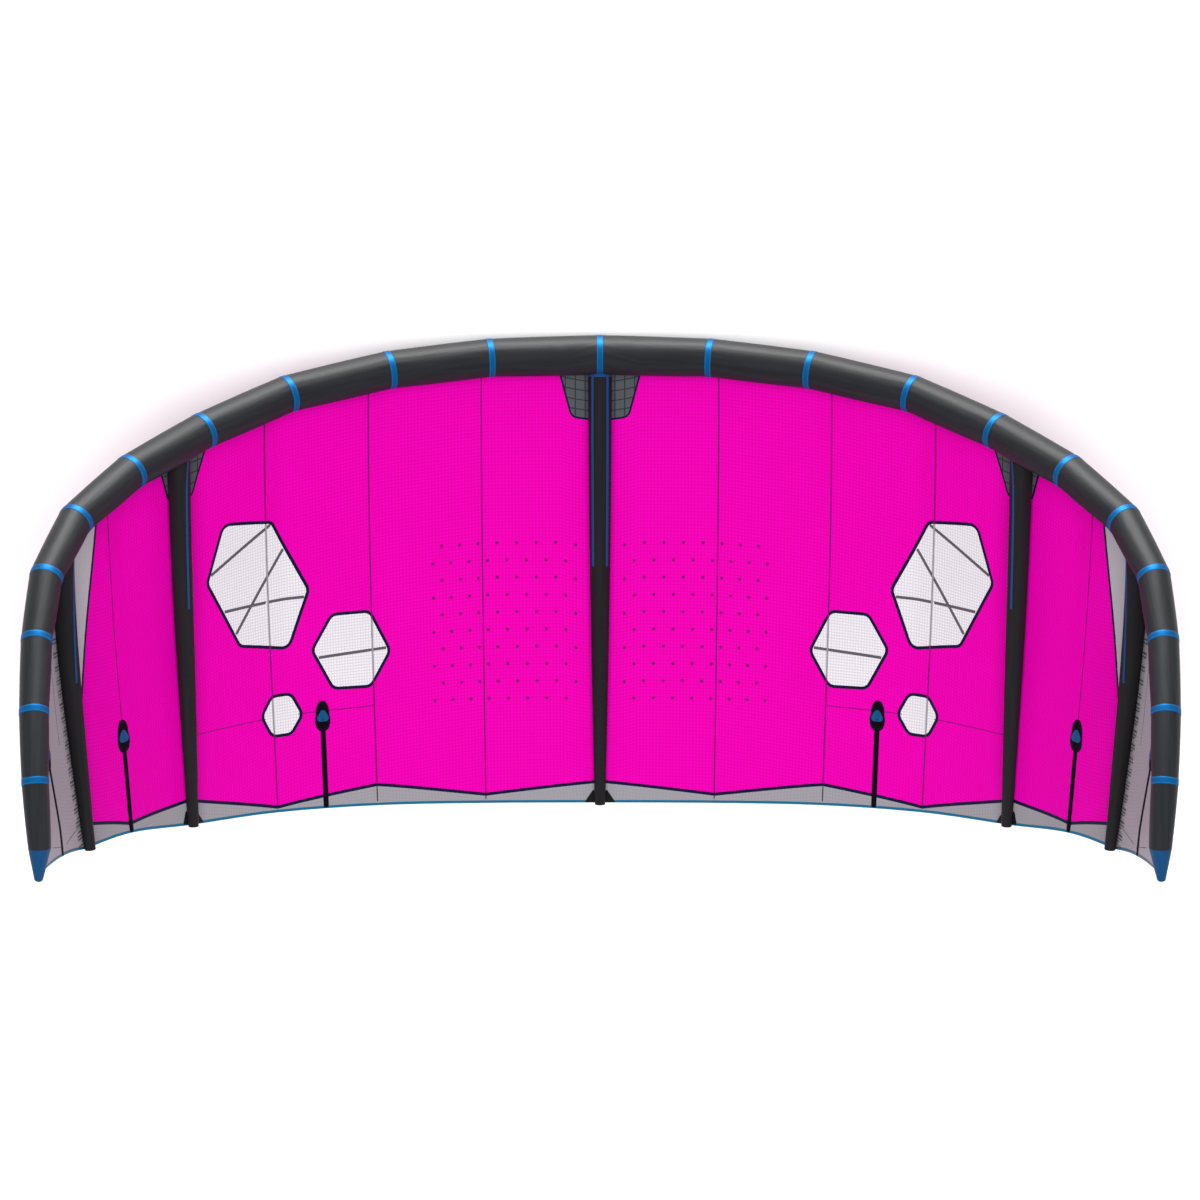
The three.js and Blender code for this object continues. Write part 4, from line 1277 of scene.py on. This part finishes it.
# %% [markdown]
# ## Reinforcements under the struts
# A slate patch spreads each strut's pull at the leading edge, with a navy tape round it. At the
# rear, small black gussets brace the strut against the grey strip.

# %% Reinforcements under the struts
# name, place, sides, width at the front, at the rear, length, corner
FRONT_PATCHES = [
    ("middle", 0.0005, (1,), 166, 118, 212, 24),
    ("inner", INNER_STRUT, (-1,), 197, 112, 222, 20),
    ("inner_outboard", INNER_STRUT, (1,), 74, 24, 192, 10),
]
PATCH_CHORD, PATCH_BORDER, PATCH_STEP = 0.006, 8, 16
# place, corners beside the strut and behind the trailing edge
GUSSETS = [
    (0.0005, [(0, -48), (29, -48), (60, -2), (0, -2)]),
    (INNER_STRUT, [(-4, -40), (-44, -40), (-68, -4), (-4, -4)]),
    (INNER_STRUT, [(4, -52), (14, -52), (29, -5), (4, -5)]),
]
patch_border_parts = []
for name, place, ways, front, rear, length, corner in FRONT_PATCHES:
    parts, area = [], 0.0
    for side in SIDES.values():
        for way in ways:
            corners = [(corner * way, corner - 6), ((front - corner) * way, corner - 6),
                       ((rear - corner) * way, length - corner), (corner * way, length - corner)]
            inner, outer = edged(corners, corner, PATCH_BORDER, PATCH_STEP)
            origin = (place, PATCH_CHORD)
            parts.append(patch_part(cloth, origin, inner, side, -0.9, 1.2))
            patch_border_parts.append(border_part(cloth, origin, inner, outer, side, -1.1, 1.5))
            area += outline_area(inner)
    piece = make_piece(f"front_patch_{name}", parts, patch_cloth)
gusset_parts = []
for side in SIDES.values():
    for place, corners in GUSSETS:
        gusset = rounded(corners, 3, 4)
        gusset = spread(gusset, gusset, 9)
        gusset_parts.append(patch_part(cloth, (place, 1.0), gusset, side, 0.2, 2.6, 6))
make_piece("front_patch_borders", patch_border_parts, navy_tape)
make_piece("strut_gussets", gusset_parts, gusset_cloth)
print("gussets:", len(gusset_parts))

# %% [markdown]
# ## Battens
# A thin stick in a sewn pocket keeps the rear of the cloth from fluttering. The pocket starts at an
# oval patch with a blue tongue that closes it, and runs to the trailing edge.

# %% Battens
# name, surface, place, rear place, from, patch
BATTENS = [
    ("inner", cloth, 2.667, 2.667, 0.83, 0.779),
    ("outer", cloth, 5.23, 5.23, 0.782, 0.720),
    ("tip", tip, 0.62, 0.5, 0.70, 0.64),
]
POCKET = [(-11.5, 0.2), (-11.3, 1.6), (-8, 2.4), (-4, 4.4), (0, 5.0), (4, 4.4), (8, 2.4),
          (11.3, 1.6), (11.5, 0.2)]
PATCH_LENGTH, PATCH_WIDTH, REAR_SWELL = 126, 67, 0.17


def pear(share=1.0):
    """A patch's outline: two round ends, the rear one fuller, and a slight waist between them."""
    turn = np.linspace(0, 2 * np.pi, 48, endpoint=False)
    along = -np.cos(turn)
    waist = 1 - 0.09 * np.exp(-((along + 0.1) ** 2) / 0.05)
    half = PATCH_WIDTH / 2 * np.sign(np.sin(turn)) * np.abs(np.sin(turn)) ** 0.75
    half = half * (1 + REAR_SWELL * along) * waist
    return np.stack([half, along * PATCH_LENGTH / 2], -1) * share


tongue_outline = rounded([(0, -10), (12, 9), (-12, 9)], 14)
eye_outline = rounded([(0, 14), (1, 16), (-1, 16)], 2.5, 4)
for side_name, side in SIDES.items():
    tongues, stitching = [], []
    for name, surface, place, rear, start, middle in BATTENS:
        line = straight((place, start - 0.03), (rear, 0.999), 40)
        make_piece(f"pocket_{name}_{side_name}", [laid_on(surface, line, POCKET, side)],
                   pocket_cloth, [f"batten_{name}_{side_name}"])
        origin = (place, middle)
        patch = make_piece(f"oval_patch_{name}_{side_name}",
                           [patch_part(surface, origin, pear(), side, 0.3, 2.8, 8)],
                           pocket_cloth, [f"batten_patch_{name}_{side_name}"])
        stitching.append(border_part(surface, origin, pear(0.87), pear(0.895), side, 2.4, 3.2))
        tongues.append(patch_part(surface, origin, tongue_outline, side, 2.4, 5.6, 5))
        stitching.append(patch_part(surface, origin, eye_outline, side, 5.0, 6.2, 2))
    make_piece(f"batten_tongues_{side_name}", tongues, tongue_tape)
    make_piece(f"patch_stitching_{side_name}", stitching, stitched_edge)
print("battens:", 2 * len(BATTENS))

# %% [markdown]
# ## Seams of the tips
# Three thin seams show on each grey tip: one beside the outer strut and two near the trailing edge.

# %% Seams of the tips
# Each runs from one (across, down) on the tip to another.
TIP_SEAMS = [((0.285, 0.40), (0.262, 0.645)), ((0.022, 0.9216), (0.39, 0.9633)),
             ((0.772, 0.932), (0.471, 0.9717))]
tip_seam_tape = tape("polyester_thread_grey", "#4F4A55", "#5A5560", 0.003)
tip_seams = [laid_on(tip, straight(*ends, 30), flat_section(3, 0.9), side)
             for side in SIDES.values() for ends in TIP_SEAMS]
make_piece("tip_seams", tip_seams, tip_seam_tape)
print("tip seams:", len(tip_seams))

# %% [markdown]
# ## Light and floor
# The picture has a white ground and even light from overhead, which falls off a little towards the
# tips. One bright streak runs along the front of the tube. So a wide soft lamp hangs over the kite
# and gives the even light, and a low one in front of it gives the streak alone. Each lamp is left
# out of the other's work: `visible_glossy` and `visible_diffuse` say which kind of reflection sees
# a lamp. The sky fills in the rest.

# %% Light and floor
FLOOR_REACH = 30


def soft_light(name, place, size, power, aim=(0, 0, 0.6)):
    data = bpy.data.lights.new(name, "AREA")
    data.shape = "RECTANGLE"
    data.size, data.size_y = size
    data.energy = power
    lamp = bpy.data.objects.new(name, data)
    lamp.location = place
    bpy.context.scene.collection.objects.link(lamp)
    x, y, z = (p - a for p, a in zip(place, aim))
    lamp.rotation_euler = (math.atan2(math.hypot(x, y), z), 0, math.atan2(x, -y))
    return lamp


front = soft_light("light_front", (0, 12.0, 0.7), (8.0, 1.0), 4100)
front.visible_diffuse = False
overhead = soft_light("light_over", (0, 0, 11.0), (9.0, 9.0), 1850)
overhead.visible_glossy = False
world = bpy.data.worlds.new("studio")
world.use_nodes = True
sky = world.node_tree.nodes["Background"]
sky.inputs["Color"].default_value = (1.0, 1.0, 1.0, 1.0)
sky.inputs["Strength"].default_value = 0.5
bpy.context.scene.world = world

material, tree = new_material("floor_matt_white")
grain = noise(tree, node(tree, "TexCoord").outputs["Object"], 120.0)
finish_material(tree, linear("#F7F7F7"), grain, 0.0005, 0.1, Roughness=0.8, IOR=1.45)
floor_mesh = bpy.data.meshes.new("floor")
corners = [(x * FLOOR_REACH, y * FLOOR_REACH, 0) for x, y in ((-1, -1), (1, -1), (1, 1), (-1, 1))]
floor_mesh.from_pydata(corners, [], [(0, 1, 2, 3)])
floor_mesh.materials.append(material)
floor = bpy.data.objects.new("floor", floor_mesh)
bpy.context.scene.collection.objects.link(floor)
print("lights: 2")
